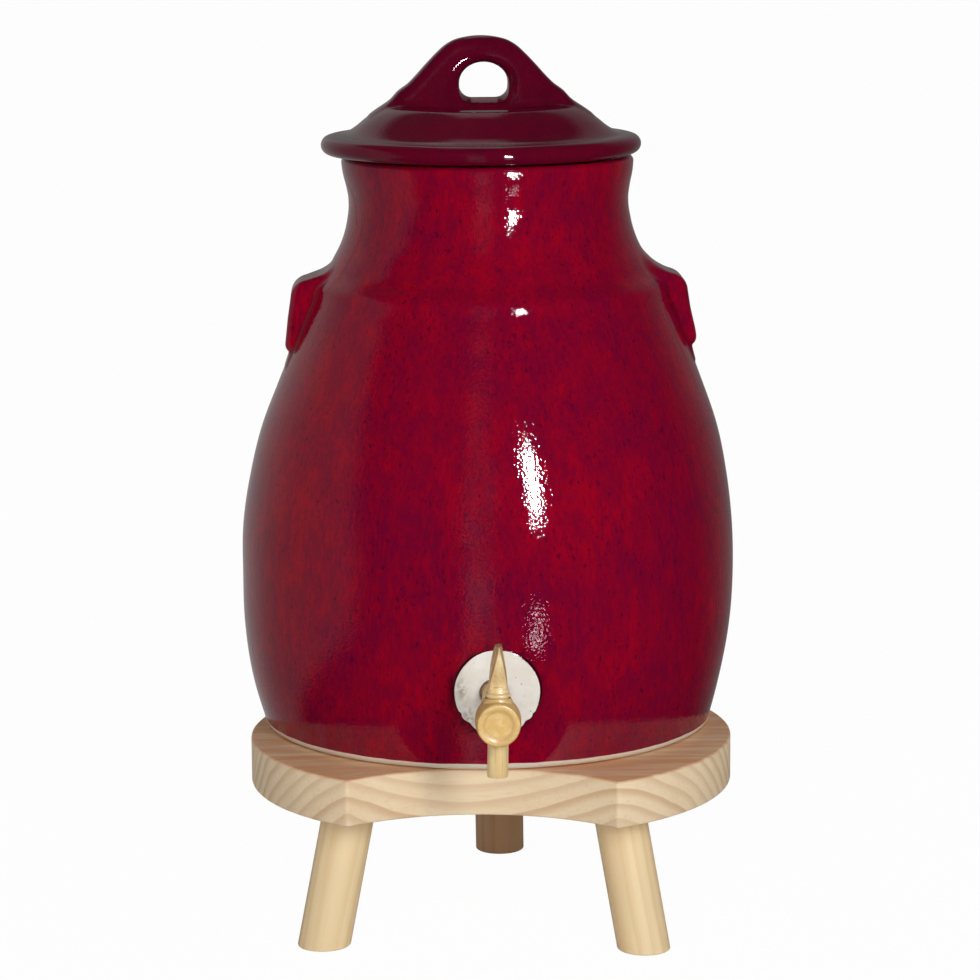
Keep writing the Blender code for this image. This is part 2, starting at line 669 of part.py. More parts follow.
def handle_hole():
    """The finger hole: a flat sill with round corners under a half-round arch."""
    half = HOLE_WIDTH / 2
    spring = HOLE_BOTTOM + HOLE_HEIGHT * HOLE_SPRING_SHARE
    rise = HOLE_BOTTOM + HOLE_HEIGHT - spring
    steps = 3 * ARC_STEPS
    turns = [math.pi * (1 - i / steps) for i in range(steps + 1)]
    arch = [(half * math.cos(turn), spring + rise * math.sin(turn)) for turn in turns]
    sill = arc((half - HOLE_CORNER, HOLE_BOTTOM + HOLE_CORNER), HOLE_CORNER, 0, -90)
    sill += arc((HOLE_CORNER - half, HOLE_BOTTOM + HOLE_CORNER), HOLE_CORNER, -90, -180)
    return arch + sill


def build_lid(seat):
    """The lid: a turned dome with a rim and a locating skirt, and an arched handle across it."""
    lid = turned("lid", lid_profile(), LID_STEPS, seat)
    handle = flat_outline("lid_handle", handle_outline(), HANDLE_ROOT_THICKNESS, seat, cutter=True)

    def thin(place):
        share = (place.z - HANDLE_ROOT) / (HANDLE_TOP - HANDLE_ROOT)
        place.y *= between(1.0, HANDLE_TOP_THICKNESS / HANDLE_ROOT_THICKNESS, max(share, 0.0))
        return place

    reshape(handle, thin)
    depth = HANDLE_ROOT_THICKNESS + 2 * OVERRUN
    hole = flat_outline("handle_hole", handle_hole(), depth, seat, cutter=True)
    hole.location = (HOLE_SHIFT, 0, 0)
    combine(handle, hole, "DIFFERENCE")
    soften(handle, HANDLE_EDGE)
    combine(lid, handle, "UNION")
    finish(lid, new_material("lid_glaze", *LID_GLAZE))


def leg_matrix(angle):
    """Frame of a leg: its origin where its axis leaves the board, its Z up along the leg."""
    lean = Vector((math.sin(angle), -math.cos(angle), 0))
    up = (Vector((0, 0, 1)) * math.cos(LEG_SPLAY) - lean * math.sin(LEG_SPLAY)).normalized()
    side = up.cross(lean).normalized()
    front = side.cross(up)
    place = lean * LEG_ROOT_RADIUS + Vector((0, 0, BOARD_LOW))
    turn = Matrix((front, side, up)).transposed().to_4x4()
    return Matrix.Translation(place) @ turn


def build_leg(name, angle, stand, floor, board, material):
    """A dowel leg, glued into its socket in the board and cut level with the floor."""
    slant = LEG_RADIUS * math.tan(LEG_SPLAY)
    drop = BOARD_LOW / math.cos(LEG_SPLAY) + slant + OVERRUN
    profile = [(0, LEG_TENON), (LEG_RADIUS - LEG_EDGE, LEG_TENON), (LEG_RADIUS, LEG_TENON - LEG_EDGE)]
    leg = turned(name, profile + [(LEG_RADIUS, -drop), (0, -drop)], LEG_STEPS, stand)
    leg.matrix_local = leg_matrix(angle)
    combine(leg, floor, "DIFFERENCE")
    soften(leg, LEG_EDGE, segments=1)
    finish(leg, material)

    socket = turned_disc(
        name + "_socket", LEG_RADIUS + GAP, -slant - OVERRUN, LEG_TENON + GAP, LEG_STEPS, stand, cutter=True
    )
    socket.matrix_local = leg_matrix(angle)
    combine(board, socket, "DIFFERENCE")


def add_round(name, radius, depth, place, parent, cutter=False):
    """A short upright cylinder with its middle at a place."""
    bm = bmesh.new()
    bmesh.ops.create_cone(
        bm, cap_ends=True, segments=BOARD_STEPS, radius1=radius, radius2=radius, depth=depth,
        matrix=Matrix.Translation(place),
    )
    return add_object(name, bm, parent, cutter)


def build_stand(stand):
    """The round pine board with its scoop, and its three legs."""
    pine = new_material("pine", *PINE)
    middle = STAND_HEIGHT - BOARD_THICKNESS / 2
    scoop_y = SCOOP_DEPTH - BOARD_RADIUS - SCOOP_RADIUS
    board = add_round("stand_board", BOARD_RADIUS, BOARD_THICKNESS, (0, 0, middle), stand)
    cut = BOARD_THICKNESS + 2 * OVERRUN
    scoop = add_round("scoop", SCOOP_RADIUS, cut, (0, scoop_y, middle), stand, cutter=True)
    combine(board, scoop, "DIFFERENCE")
    soften(board, BOARD_EDGE, segments=1)

    reach = 2 * BOARD_RADIUS
    bm = bmesh.new()
    bmesh.ops.create_cube(bm, size=1.0)
    bmesh.ops.scale(bm, vec=(2 * reach, 2 * reach, reach), verts=bm.verts)
    bmesh.ops.translate(bm, vec=(0, 0, -reach / 2), verts=bm.verts)
    floor = add_object("floor_cut", bm, stand, cutter=True)
    for name, angle in LEG_ANGLES.items():
        build_leg(name, math.radians(angle), stand, floor, board, pine)
    finish(board, pine)


def main():
    """Build the stand, then the crock, the tap and the lid on it."""
    stand = new_empty("stand", None, (0, STAND_Y, 0))
    stand.rotation_euler = (0, 0, STAND_TURN)
    crock_seat = new_empty("crock_seat", None, (0, CROCK_Y, STAND_HEIGHT + GAP))
    lid_seat = new_empty("lid_seat", crock_seat, (LID_SHIFT, 0, CROCK_HEIGHT + GAP))
    tap_axis = new_empty("tap_axis", crock_seat, (TAP_SHIFT, -TAP_REACH, TAP_HEIGHT))
    key_axis = new_empty("key_axis", tap_axis, (0, KEY_SETBACK, 0))
    build_stand(stand)
    build_crock(crock_seat)
    build_cork(crock_seat)
    build_tap(tap_axis, key_axis)
    build_key(key_axis)
    build_lid(lid_seat)
    bpy.context.view_layer.update()


clear_scene()
PARTS = new_collection("vinegar_crock")
CUTTERS = new_collection("cutters")
main()
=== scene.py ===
"""A vinegar crock on its pine stand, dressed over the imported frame.

Each sub-assembly is a class that holds its sizes in metres, builds its meshes and dresses them. Heights in the
crock's classes are above the crock's foot, heights in the lid's class above the lid's seat, and the tap's places
run back from its face. Every finished mesh lies in the frame's own coordinates, with its object at the origin.
"""

import logging
import math
from collections.abc import Callable
from dataclasses import dataclass, field
from enum import Enum

import bmesh
import bpy
import numpy as np
from mathutils import Matrix, Vector


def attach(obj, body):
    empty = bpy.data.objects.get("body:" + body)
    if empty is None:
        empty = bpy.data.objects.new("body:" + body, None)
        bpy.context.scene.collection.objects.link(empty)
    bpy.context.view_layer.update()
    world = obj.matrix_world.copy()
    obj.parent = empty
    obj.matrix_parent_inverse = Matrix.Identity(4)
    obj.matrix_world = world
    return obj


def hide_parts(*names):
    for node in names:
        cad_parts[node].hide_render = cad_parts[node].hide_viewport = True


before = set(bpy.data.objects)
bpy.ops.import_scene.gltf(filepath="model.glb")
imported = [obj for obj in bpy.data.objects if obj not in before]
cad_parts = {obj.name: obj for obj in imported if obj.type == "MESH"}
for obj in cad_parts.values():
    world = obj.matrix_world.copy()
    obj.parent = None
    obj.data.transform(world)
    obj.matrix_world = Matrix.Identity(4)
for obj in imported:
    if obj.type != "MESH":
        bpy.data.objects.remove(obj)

LOG = logging.getLogger("vinegar_crock")
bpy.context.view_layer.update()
WELD = 0.000002
Colour = tuple[float, float, float]
Point = tuple[float, float, float]
Section = list[tuple[float, float]]
Knots = tuple[tuple[float, float], ...]


class Body(Enum):
    """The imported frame's bodies that pieces ride on."""

    STAND = "stand"
    CROCK = "crock"
    LID = "lid"
    TAP = "tap"
    KEY = "key"


class Slot(Enum):
    """The record's material slots."""

    RED_GLAZE = "red_glaze"
    LID_GLAZE = "lid_glaze"
    CORK = "cork"
    TURNED_WOOD = "turned_wood"
    PINE = "pine"


class Grain(Enum):
    """Which way a wood's fibres run, in the coordinates that its material reads."""

    ALONG_X = "x"
    ALONG_Y = "y"
    ALONG_Z = "z"


class Glow(Enum):
    """What a lamp does: it lights what is dull, or it is mirrored by what is glossy."""

    LIT = "lit"
    MIRRORED = "mirrored"


# Curves, distances and plain meshes


def between(low: float, high: float, share: float) -> float:
    """The value that lies this share of the way from low to high."""
    return low + (high - low) * share


def arc(centre: tuple[float, float], radius: float, start: float, end: float, steps: int) -> Section:
    """Points on a circular arc of a section.

    Args:
        centre: Middle of the arc, as (radius, height).
        radius: Radius of the arc.
        start: First angle in degrees, from outwards towards up.
        end: Last angle in degrees.
        steps: How many steps lie between the two ends.

    Returns:
        The arc's points, both ends included.
    """
    angles = [math.radians(between(start, end, i / steps)) for i in range(steps + 1)]
    return [(centre[0] + radius * math.cos(a), centre[1] + radius * math.sin(a)) for a in angles]


def smooth_line(points: Section, spacing: float) -> Section:
    """A smooth line through the points of a section.

    Args:
        points: Places that the line goes through, in order.
        spacing: Longest step between two points of the result.

    Returns:
        The line's points, with both ends of the input kept.
    """
    knots = np.array(points, dtype=float)
    gaps = np.linalg.norm(np.diff(knots, axis=0), axis=1)
    way = np.concatenate([[0.0], np.cumsum(gaps)])
    slopes = np.gradient(knots, way, axis=0)
    made: Section = [points[0]]
    for i, gap in enumerate(gaps):
        steps = max(1, math.ceil(gap / spacing))
        for step in range(1, steps + 1):
            t = step / steps
            place = (2 * t**3 - 3 * t**2 + 1) * knots[i] + (3 * t**2 - 2 * t**3) * knots[i + 1]
            place = place + (t**3 - 2 * t**2 + t) * gap * slopes[i] + (t**3 - t**2) * gap * slopes[i + 1]
            made.append((float(place[0]), float(place[1])))
    return made


def value_along(knots: Knots, places: np.ndarray) -> np.ndarray:
    """Values of a smooth curve, read at many places.

    Args:
        knots: What the curve goes through, each as (place, value).
        places: Where it is read, held between the first and the last knot.

    Returns:
        One value for each place.
    """
    at = np.array([k[0] for k in knots])
    values = np.array([k[1] for k in knots])
    slopes = np.gradient(values, at)
    x = np.clip(places, at[0], at[-1])
    i = np.clip(np.searchsorted(at, x, side="right") - 1, 0, len(at) - 2)
    span = at[i + 1] - at[i]
    t = (x - at[i]) / span
    low = (2 * t**3 - 3 * t**2 + 1) * values[i] + (t**3 - 2 * t**2 + t) * span * slopes[i]
    return low + (3 * t**2 - 2 * t**3) * values[i + 1] + (t**3 - t**2) * span * slopes[i + 1]


def smooth_step(low: float, high: float, value: np.ndarray) -> np.ndarray:
    """A rise from 0 at low to 1 at high, level at both ends."""
    t = np.clip((value - low) / (high - low), 0.0, 1.0)
    return t * t * (3 - 2 * t)


def hump(value: np.ndarray, middle: float, width: float) -> np.ndarray:
    """A smooth hump that is 1 at its middle and falls off over a width on both sides."""
    return np.exp(-(((value - middle) / width) ** 2))


def smooth_join(first: np.ndarray, second: np.ndarray, width: np.ndarray | float) -> np.ndarray:
    """Distance to two solids joined with a soft crease of a given width."""
    share = np.clip(0.5 + 0.5 * (second - first) / width, 0.0, 1.0)
    return second * (1 - share) + first * share - width * share * (1 - share)


def outline_distance(across: np.ndarray, up: np.ndarray, outline: Section) -> np.ndarray:
    """Signed distance from points to a closed outline in their plane.

    Args:
        across: The points' places sideways.
        up: The points' heights.
        outline: The outline's corners, in order.

    Returns:
        One distance for each point, negative inside.
    """
    nearest = np.full(across.shape, np.inf)
    inside = np.zeros(across.shape, dtype=bool)
    for (x0, z0), (x1, z1) in zip(outline, outline[1:] + outline[:1]):
        ex, ez = x1 - x0, z1 - z0
        length = ex * ex + ez * ez
        if length == 0:
            continue
        px, pz = across - x0, up - z0
        t = np.clip((px * ex + pz * ez) / length, 0.0, 1.0)
        nearest = np.minimum(nearest, (px - ex * t) ** 2 + (pz - ez * t) ** 2)
        if z0 != z1:
            crossing = ((z0 > up) != (z1 > up)) & (across < ex * (up - z0) / ez + x0)
            inside ^= crossing
    return np.where(inside, -1.0, 1.0) * np.sqrt(nearest)


def plate_distance(flat: np.ndarray, depth: np.ndarray, edge: float) -> np.ndarray:
    """Signed distance to a plate with rounded edges.

    Args:
        flat: Distance to the plate's outline, seen from its front.
        depth: Distance past its faces.
        edge: Radius of its edges.

    Returns:
        One distance for each point, negative inside.
    """
    a, b = flat + edge, depth + edge
    outer = np.hypot(np.maximum(a, 0.0), np.maximum(b, 0.0))
    return np.minimum(np.maximum(a, b), 0.0) + outer - edge


def settle(points: np.ndarray, distance: Callable[[np.ndarray], np.ndarray], rounds: int) -> np.ndarray:
    """Move points straight onto the surface where a distance is nought.

    Args:
        points: The points, one row each.
        distance: Function that gives the signed distance of such points.
        rounds: How many steps are taken.

    Returns:
        The moved points.
    """
    nudge, least_slope = 0.00005, 0.25
    placed = points.copy()
    for _ in range(rounds):
        here = distance(placed)
        slope = np.empty_like(placed)
        for axis in range(3):
            step = np.zeros(3)
            step[axis] = nudge
            slope[:, axis] = (distance(placed + step) - distance(placed - step)) / (2 * nudge)
        steep = np.maximum((slope**2).sum(axis=1), least_slope)
        placed -= slope * (here / steep)[:, None]
    return placed


def ripple(points: np.ndarray, pitch: float, seed: int) -> np.ndarray:
    """Gentle unevenness that is the same on every run.

    Args:
        points: Where it is read, one row each.
        pitch: About how far one swell reaches.
        seed: Fixed start of the random draws.

    Returns:
        One value for each point, mostly between -1 and 1.
    """
    waves, gain = 7, 1.6
    rng = np.random.default_rng(seed)
    total = np.zeros(len(points))
    for _ in range(waves):
        way = rng.normal(size=3)
        way /= np.linalg.norm(way)
        turn = 2 * math.pi / (pitch * rng.uniform(0.7, 1.5))
        total += np.sin(points @ way * turn + rng.uniform(0, 2 * math.pi))
    return total / waves * gain


def ring_faces(rings: int, steps: int) -> list[tuple[int, ...]]:
    """Faces between rings of points that follow one another.

    Args:
        rings: How many rings there are.
        steps: How many points each ring has.

    Returns:
        Each face's four points, ring by ring.
    """
    faces = []
    for ring in range(rings - 1):
        near, far = ring * steps, (ring + 1) * steps
        for step in range(steps):
            after = (step + 1) % steps
            faces.append((near + step, near + after, far + after, far + step))
    return faces


def mesh_points(mesh: bpy.types.Mesh) -> np.ndarray:
    """The places of a mesh's vertices.

    Args:
        mesh: The mesh.

    Returns:
        One row for each vertex.
    """
    flat = np.empty(len(mesh.vertices) * 3)
    mesh.vertices.foreach_get("co", flat)
    return flat.reshape(-1, 3)


def set_mesh_points(mesh: bpy.types.Mesh, points: np.ndarray) -> None:
    """Give a mesh's vertices new places."""
    mesh.vertices.foreach_set("co", np.ascontiguousarray(points, dtype=np.float32).ravel())
    mesh.update()


def mesh_edges(mesh: bpy.types.Mesh) -> np.ndarray:
    """The vertices that a mesh's edges join.

    Args:
        mesh: The mesh.

    Returns:
        One row of two vertex numbers for each edge.
    """
    flat = np.empty(len(mesh.edges) * 2, dtype=np.int64)
    mesh.edges.foreach_get("vertices", flat)
    return flat.reshape(-1, 2)


def store_mask(mesh: bpy.types.Mesh, name: str, values: np.ndarray) -> None:
    """Keep one number for each vertex under a name that materials can read."""
    layer = mesh.attributes.new(name, "FLOAT", "POINT")
    layer.data.foreach_set("value", np.ascontiguousarray(values, dtype=np.float32))


def new_piece(name: str, mesh: bpy.types.Mesh) -> bpy.types.Object:
    """Put a mesh in the scene as an object at the origin.

    Args:
        name: The object's name.
        mesh: Its mesh.

    Returns:
        The new object.
    """
    made = bpy.data.objects.new(name, mesh)
    bpy.context.scene.collection.objects.link(made)
    return made


def remove_piece(obj: bpy.types.Object) -> None:
    """Take a helper object and its mesh out of the scene.

    Args:
        obj: The helper.
    """
    mesh = obj.data
    bpy.data.objects.remove(obj)
    bpy.data.meshes.remove(mesh)


def make_plain(obj: bpy.types.Object) -> bpy.types.Object:
    """Turn an object's modifiers into plain mesh, and take them off.

    Args:
        obj: The object, whose old mesh is removed.

    Returns:
        The same object.
    """
    bpy.context.view_layer.update()
    seen = obj.evaluated_get(bpy.context.evaluated_depsgraph_get())
    mesh = bpy.data.meshes.new_from_object(seen)
    old = obj.data
    obj.modifiers.clear()
    obj.data = mesh
    bpy.data.meshes.remove(old)
    mesh.name = obj.name
    return obj


def face_outwards(mesh: bpy.types.Mesh) -> None:
    """Weld a closed mesh and turn its faces outwards.

    Args:
        mesh: The mesh, changed in place.
    """
    bm = bmesh.new()
    bm.from_mesh(mesh)
    bmesh.ops.remove_doubles(bm, verts=bm.verts, dist=WELD)
    bmesh.ops.recalc_face_normals(bm, faces=bm.faces)
    bm.to_mesh(mesh)
    bm.free()


def carve(target: bpy.types.Object, cutters: list[bpy.types.Object], operation: str = "DIFFERENCE") -> None:
    """Cut a piece of one finish with closed helper meshes, which are removed afterwards.

    Args:
        target: The piece, whose finish also covers the cut faces.
        cutters: The helper meshes.
        operation: The Boolean modifier's operation.
    """
    finish = target.data.materials[0]
    for cutter in cutters:
        made = target.modifiers.new("cut", "BOOLEAN")
        made.operation = operation
        made.solver = "EXACT"
        made.object = cutter
    make_plain(target)
    finish_all(target.data, finish)
    for cutter in cutters:
        remove_piece(cutter)


def finish_all(mesh: bpy.types.Mesh, finish: bpy.types.Material) -> None:
    """Give every face of a mesh one finish.

    Args:
        mesh: The mesh.
        finish: Its only material afterwards.
    """
    mesh.materials.clear()
    mesh.materials.append(finish)
    mesh.polygons.foreach_set("material_index", [0] * len(mesh.polygons))


def shade(mesh: bpy.types.Mesh, sharp_angle: float = 180.0) -> None:
    """Shade a mesh smooth, apart from its sharp edges.

    Args:
        mesh: The mesh.
        sharp_angle: The angle in degrees past which an edge stays sharp.
    """
    mesh.shade_smooth()
    if sharp_angle < 180.0:
        mesh.set_sharp_from_angle(angle=math.radians(sharp_angle))


def hand_over(piece: bpy.types.Object, body: Body, slot: Slot, *nodes: str) -> bpy.types.Object:
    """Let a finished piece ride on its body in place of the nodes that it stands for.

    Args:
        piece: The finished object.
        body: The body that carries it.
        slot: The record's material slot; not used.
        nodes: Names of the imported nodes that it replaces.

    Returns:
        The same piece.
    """
    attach(piece, body.value)
    if nodes:
        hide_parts(*nodes)
    LOG.info("%s: %d faces on %s", piece.name, len(piece.data.polygons), body.value)
    return piece


# Node trees


class NodeNet:
    """A short way to write the nodes of a material or a Geometry Nodes tree."""

    def __init__(self, tree: bpy.types.NodeTree) -> None:
        """Keep the tree that the nodes go into."""
        self.tree = tree

    def add(self, kind: str, inputs: dict | None = None, **settings: object) -> bpy.types.Node:
        """Add a node.

        Args:
            kind: The node's type name.
            inputs: Its inputs by name or number, each a value or a socket to link from.
            settings: Properties of the node itself.

        Returns:
            The new node.
        """
        node = self.tree.nodes.new(kind)
        for key, value in settings.items():
            setattr(node, key, value)
        for key, value in (inputs or {}).items():
            socket = node.inputs[key]
            if isinstance(value, bpy.types.NodeSocket):
                self.tree.links.new(value, socket)
            else:
                socket.default_value = value
        return node

    def math(self, operation: str, first: object, second: object = 0.0,
             third: object = 0.0) -> bpy.types.NodeSocket:
        """The result of a Math node."""
        return self.add("ShaderNodeMath", {0: first, 1: second, 2: third}, operation=operation).outputs[0]

    def vector_math(self, operation: str, first: object, second: object) -> bpy.types.NodeSocket:
        """The vector result of a Vector Math node."""
        return self.add("ShaderNodeVectorMath", {0: first, 1: second}, operation=operation).outputs[0]

    def blend(self, share: object, first: object, second: object, kind: str = "MIX") -> bpy.types.NodeSocket:
        """Two colours mixed by a share.

        Args:
            share: How much of the second colour there is, a number or a socket.
            first: The first colour, three numbers or a socket.
            second: The second colour, likewise.
            kind: The Mix node's blend type.

        Returns:
            Socket of the mixed colour.
        """
        node = self.add("ShaderNodeMix", data_type="RGBA", blend_type=kind, clamp_factor=True)
        for key, value in ((0, share), (6, first), (7, second)):
            if isinstance(value, bpy.types.NodeSocket):
                self.tree.links.new(value, node.inputs[key])
            else:
                node.inputs[key].default_value = (*value, 1.0) if isinstance(value, tuple) else value
        return node.outputs[2]

    def span(self, value: object, low: float, high: float, to_low: float = 0.0, to_high: float = 1.0,
             smooth: bool = True) -> bpy.types.NodeSocket:
        """A value carried from one range to another, and held within it.

        Args:
            value: Socket of the value.
            low: Where its range starts.
            high: Where its range ends.
            to_low: What the start becomes.
            to_high: What the end becomes.
            smooth: Whether the change is eased at both ends.

        Returns:
            Socket of the new value.
        """
        node = self.add(
            "ShaderNodeMapRange",
            {"Value": value, "From Min": low, "From Max": high, "To Min": to_low, "To Max": to_high},
            interpolation_type="SMOOTHSTEP" if smooth else "LINEAR",
        )
        return node.outputs["Result"]

    def stretched(self, place: object, scale: Point, shift: Point = (0.0, 0.0, 0.0)) -> bpy.types.NodeSocket:
        """Coordinates shifted and scaled by a Mapping node."""
        node = self.add("ShaderNodeMapping", {"Vector": place, "Scale": scale, "Location": shift})
        return node.outputs["Vector"]

    def noise(self, place: object, scale: float, detail: float = 2.0, rough: float = 0.5,
              warp: float = 0.0) -> bpy.types.NodeSocket:
        """The value of a Noise Texture.

        Args:
            place: Socket of the coordinates.
            scale: How many swells there are to a metre.
            detail: How many finer layers are added.
            rough: How strong the finer layers are.
            warp: How far the coordinates are bent.

        Returns:
            Socket of the value, from 0 to 1.
        """
        node = self.add(
            "ShaderNodeTexNoise",
            {"Vector": place, "Scale": scale, "Detail": detail, "Roughness": rough, "Distortion": warp},
        )
        return node.outputs[0]


class Surface:
    """A Principled material under construction."""

    def __init__(self, name: str, roughness: float) -> None:
        """Start a material with one plain Principled shader.

        Args:
            name: The material's name.
            roughness: Its roughness, until one is linked.
        """
        self.material = bpy.data.materials.new(name)
        self.material.use_nodes = True
        self.net = NodeNet(self.material.node_tree)
        self.shader = self.material.node_tree.nodes["Principled BSDF"]
        self.shader.inputs["Roughness"].default_value = roughness
        self.place = self.net.add("ShaderNodeTexCoord").outputs["Object"]

    def mask(self, name: str) -> bpy.types.NodeSocket:
        """The number kept under a name on the mesh."""
        return self.net.add("ShaderNodeAttribute", attribute_name=name).outputs["Fac"]

    def vector(self, name: str) -> bpy.types.NodeSocket:
        """The vector kept under a name on the mesh."""
        return self.net.add("ShaderNodeAttribute", attribute_name=name).outputs["Vector"]

    def connect(self, colour: object = None, roughness: object = None, height: object = None,
                depth: float = 0.0) -> None:
        """Link colour, roughness and a bump height to the shader.

        Args:
            colour: Socket of the base colour.
            roughness: Socket of the roughness.
            height: Socket of the bump's height, from 0 to 1.
            depth: How deep a full step of that height is, in metres.
        """
        links = self.net.tree.links
        if colour is not None:
            links.new(colour, self.shader.inputs["Base Color"])
        if roughness is not None:
            links.new(roughness, self.shader.inputs["Roughness"])
        if height is not None:
            bump = self.net.add("ShaderNodeBump", {"Height": height, "Strength": 1.0, "Distance": depth})
            links.new(bump.outputs["Normal"], self.shader.inputs["Normal"])


# Finishes


@dataclass(frozen=True)
class Glaze:
    """A glossy stoneware glaze that breaks into streaks, mottles and dark specks."""

    name: str
    deep: Colour
    main: Colour
    bright: Colour
    speck: Colour
    # Colour of glaze pooled in creases, also used as painted shade in the creases and round the boss.
    pooled_and_painted_shade: Colour
    bare: Colour
    mottling: float
    specks: float
    peel: float
    roughness: float = 0.02
    bare_below: float = -1.0
    bare_roughness: float = 0.85
    edge_wobble: float = 0.0011
    edge_width: float = 0.00025
    wave_share: float = 0.25
    relief: float = 0.00020

    def material(self) -> bpy.types.Material:
        """Build the glaze's material.

        Broad patches and streaks that ran down the pot lie over a slow drift, with dark threads and specks on
        them. An orange-peel skin breaks up what the glaze mirrors.

        Returns:
            The material.
        """
        made = Surface(self.name, self.roughness)
        net = made.net
        drift = net.noise(made.place, 17.0, 2.0, 0.5)
        patches = net.noise(net.stretched(made.place, (1.0, 1.0, 0.45)), 135.0, 3.0, 0.60, 0.4)
        streaks = net.noise(net.stretched(made.place, (1.0, 1.0, 0.25)), 620.0, 3.0, 0.65, 0.3)
        threads = net.noise(net.stretched(made.place, (1.0, 1.0, 0.14)), 1150.0, 2.0, 0.5)
        both = net.math("ADD", net.math("MULTIPLY", patches, 0.50), net.math("MULTIPLY", drift, 0.50))
        # A vertex mask brightens the glaze where the key lamp falls on the belly and shoulder: partly the glaze's
        # own brighter patch, partly painted light.
        both = net.math("ADD", both, net.math("MULTIPLY", made.mask("flame"), 0.10))
        colour = net.blend(net.span(both, 0.38, 0.54), self.deep, self.main)
        lit = net.math("MULTIPLY", net.span(both, 0.50, 0.66), 0.85 * self.mottling)
        colour = net.blend(lit, colour, self.bright)
        grainy = net.math("MULTIPLY", net.span(streaks, 0.44, 0.62), 0.45 * self.mottling)
        colour = net.blend(grainy, colour, self.bright)
        dim = net.math("MULTIPLY", net.span(threads, 0.48, 0.68), 0.60 * self.mottling)
        colour = net.blend(dim, colour, self.deep)
        crowd = net.span(net.noise(made.place, 38.0, 3.0), 0.38, 0.60, 0.20, 1.0)
        small = net.noise(net.stretched(made.place, (1.0, 1.0, 0.40)), 900.0, 1.0, 0.4, 0.5)
        spots = net.math("MULTIPLY", net.span(small, 0.62, 0.72), crowd)
        pin = net.noise(net.stretched(made.place, (1.0, 1.0, 0.6), shift=(0.3, 0.7, 0.1)), 520.0, 1.0, 0.3)
        spots = net.math("MAXIMUM", spots, net.span(pin, 0.71, 0.77))
        colour = net.blend(net.math("MULTIPLY", spots, self.specks), colour, self.speck)
        # A vertex mask darkens the ears' creases, a ring round the boss and the lid's groove: glaze pooled there,
        # with painted shade in the creases and round the boss.
        colour = net.blend(made.mask("pooled_and_painted_shade"), colour, self.pooled_and_painted_shade)
        orange_peel = net.noise(made.place, 900.0, 1.0, 0.4)
        waves = net.noise(made.place, 90.0, 2.0, 0.5)
        height = net.math("ADD", net.math("MULTIPLY", orange_peel, self.peel),
                          net.math("MULTIPLY", waves, self.wave_share))
        rough = None
        if self.bare_below > -1.0:
            level = net.add("ShaderNodeSeparateXYZ", {0: made.place}).outputs[2]
            wobble = net.math("MULTIPLY", net.noise(made.place, 70.0, 3.0), self.edge_wobble)
            gone = net.span(net.math("SUBTRACT", level, wobble), self.bare_below, self.bare_below + self.edge_width,
                            1.0, 0.0)
            colour = net.blend(gone, colour, self.bare)
            rough = net.span(gone, 0.0, 1.0, self.roughness, self.bare_roughness)
        made.connect(colour, rough, height, self.relief)
        return made.material


@dataclass(frozen=True)
class BareClay:
    """Fired stoneware without glaze, with a little grit and a grey smudge that is partly a painted shadow of the
    tap.
    """

    name: str = "bare_clay"
    main: Colour = (0.84, 0.81, 0.76)
    warm: Colour = (0.79, 0.73, 0.65)
    grit: Colour = (0.05, 0.035, 0.03)
    smudge_and_painted_shadow: Colour = (0.33, 0.27, 0.22)
    roughness: float = 0.82
    relief: float = 0.00012

    def material(self) -> bpy.types.Material:
        """Build the clay's material.

        Returns:
            The material, which reads two vertex masks: a grey smudge that is partly a painted shadow, and a dark
            dot.
        """
        made = Surface(self.name, self.roughness)
        net = made.net
        broad = net.noise(made.place, 130.0, 4.0, 0.6)
        colour = net.blend(net.span(broad, 0.35, 0.68), self.main, self.warm)
        grit = net.span(net.noise(made.place, 640.0, 1.0, 0.5), 0.72, 0.77)
        colour = net.blend(net.math("MULTIPLY", grit, 0.40), colour, self.grit)
        # The grey smudge is partly a painted shadow of the tap.
        stain_and_painted_shadow = net.math("MULTIPLY", made.mask("smudge_and_painted_shadow"), net.span(net.noise(made.place, 420.0, 3.0), 0.38, 0.62))
        colour = net.blend(stain_and_painted_shadow, colour, self.smudge_and_painted_shadow)
        colour = net.blend(made.mask("dot"), colour, self.grit)
        made.connect(colour, None, net.noise(made.place, 1500.0, 3.0, 0.6), self.relief)
        return made.material


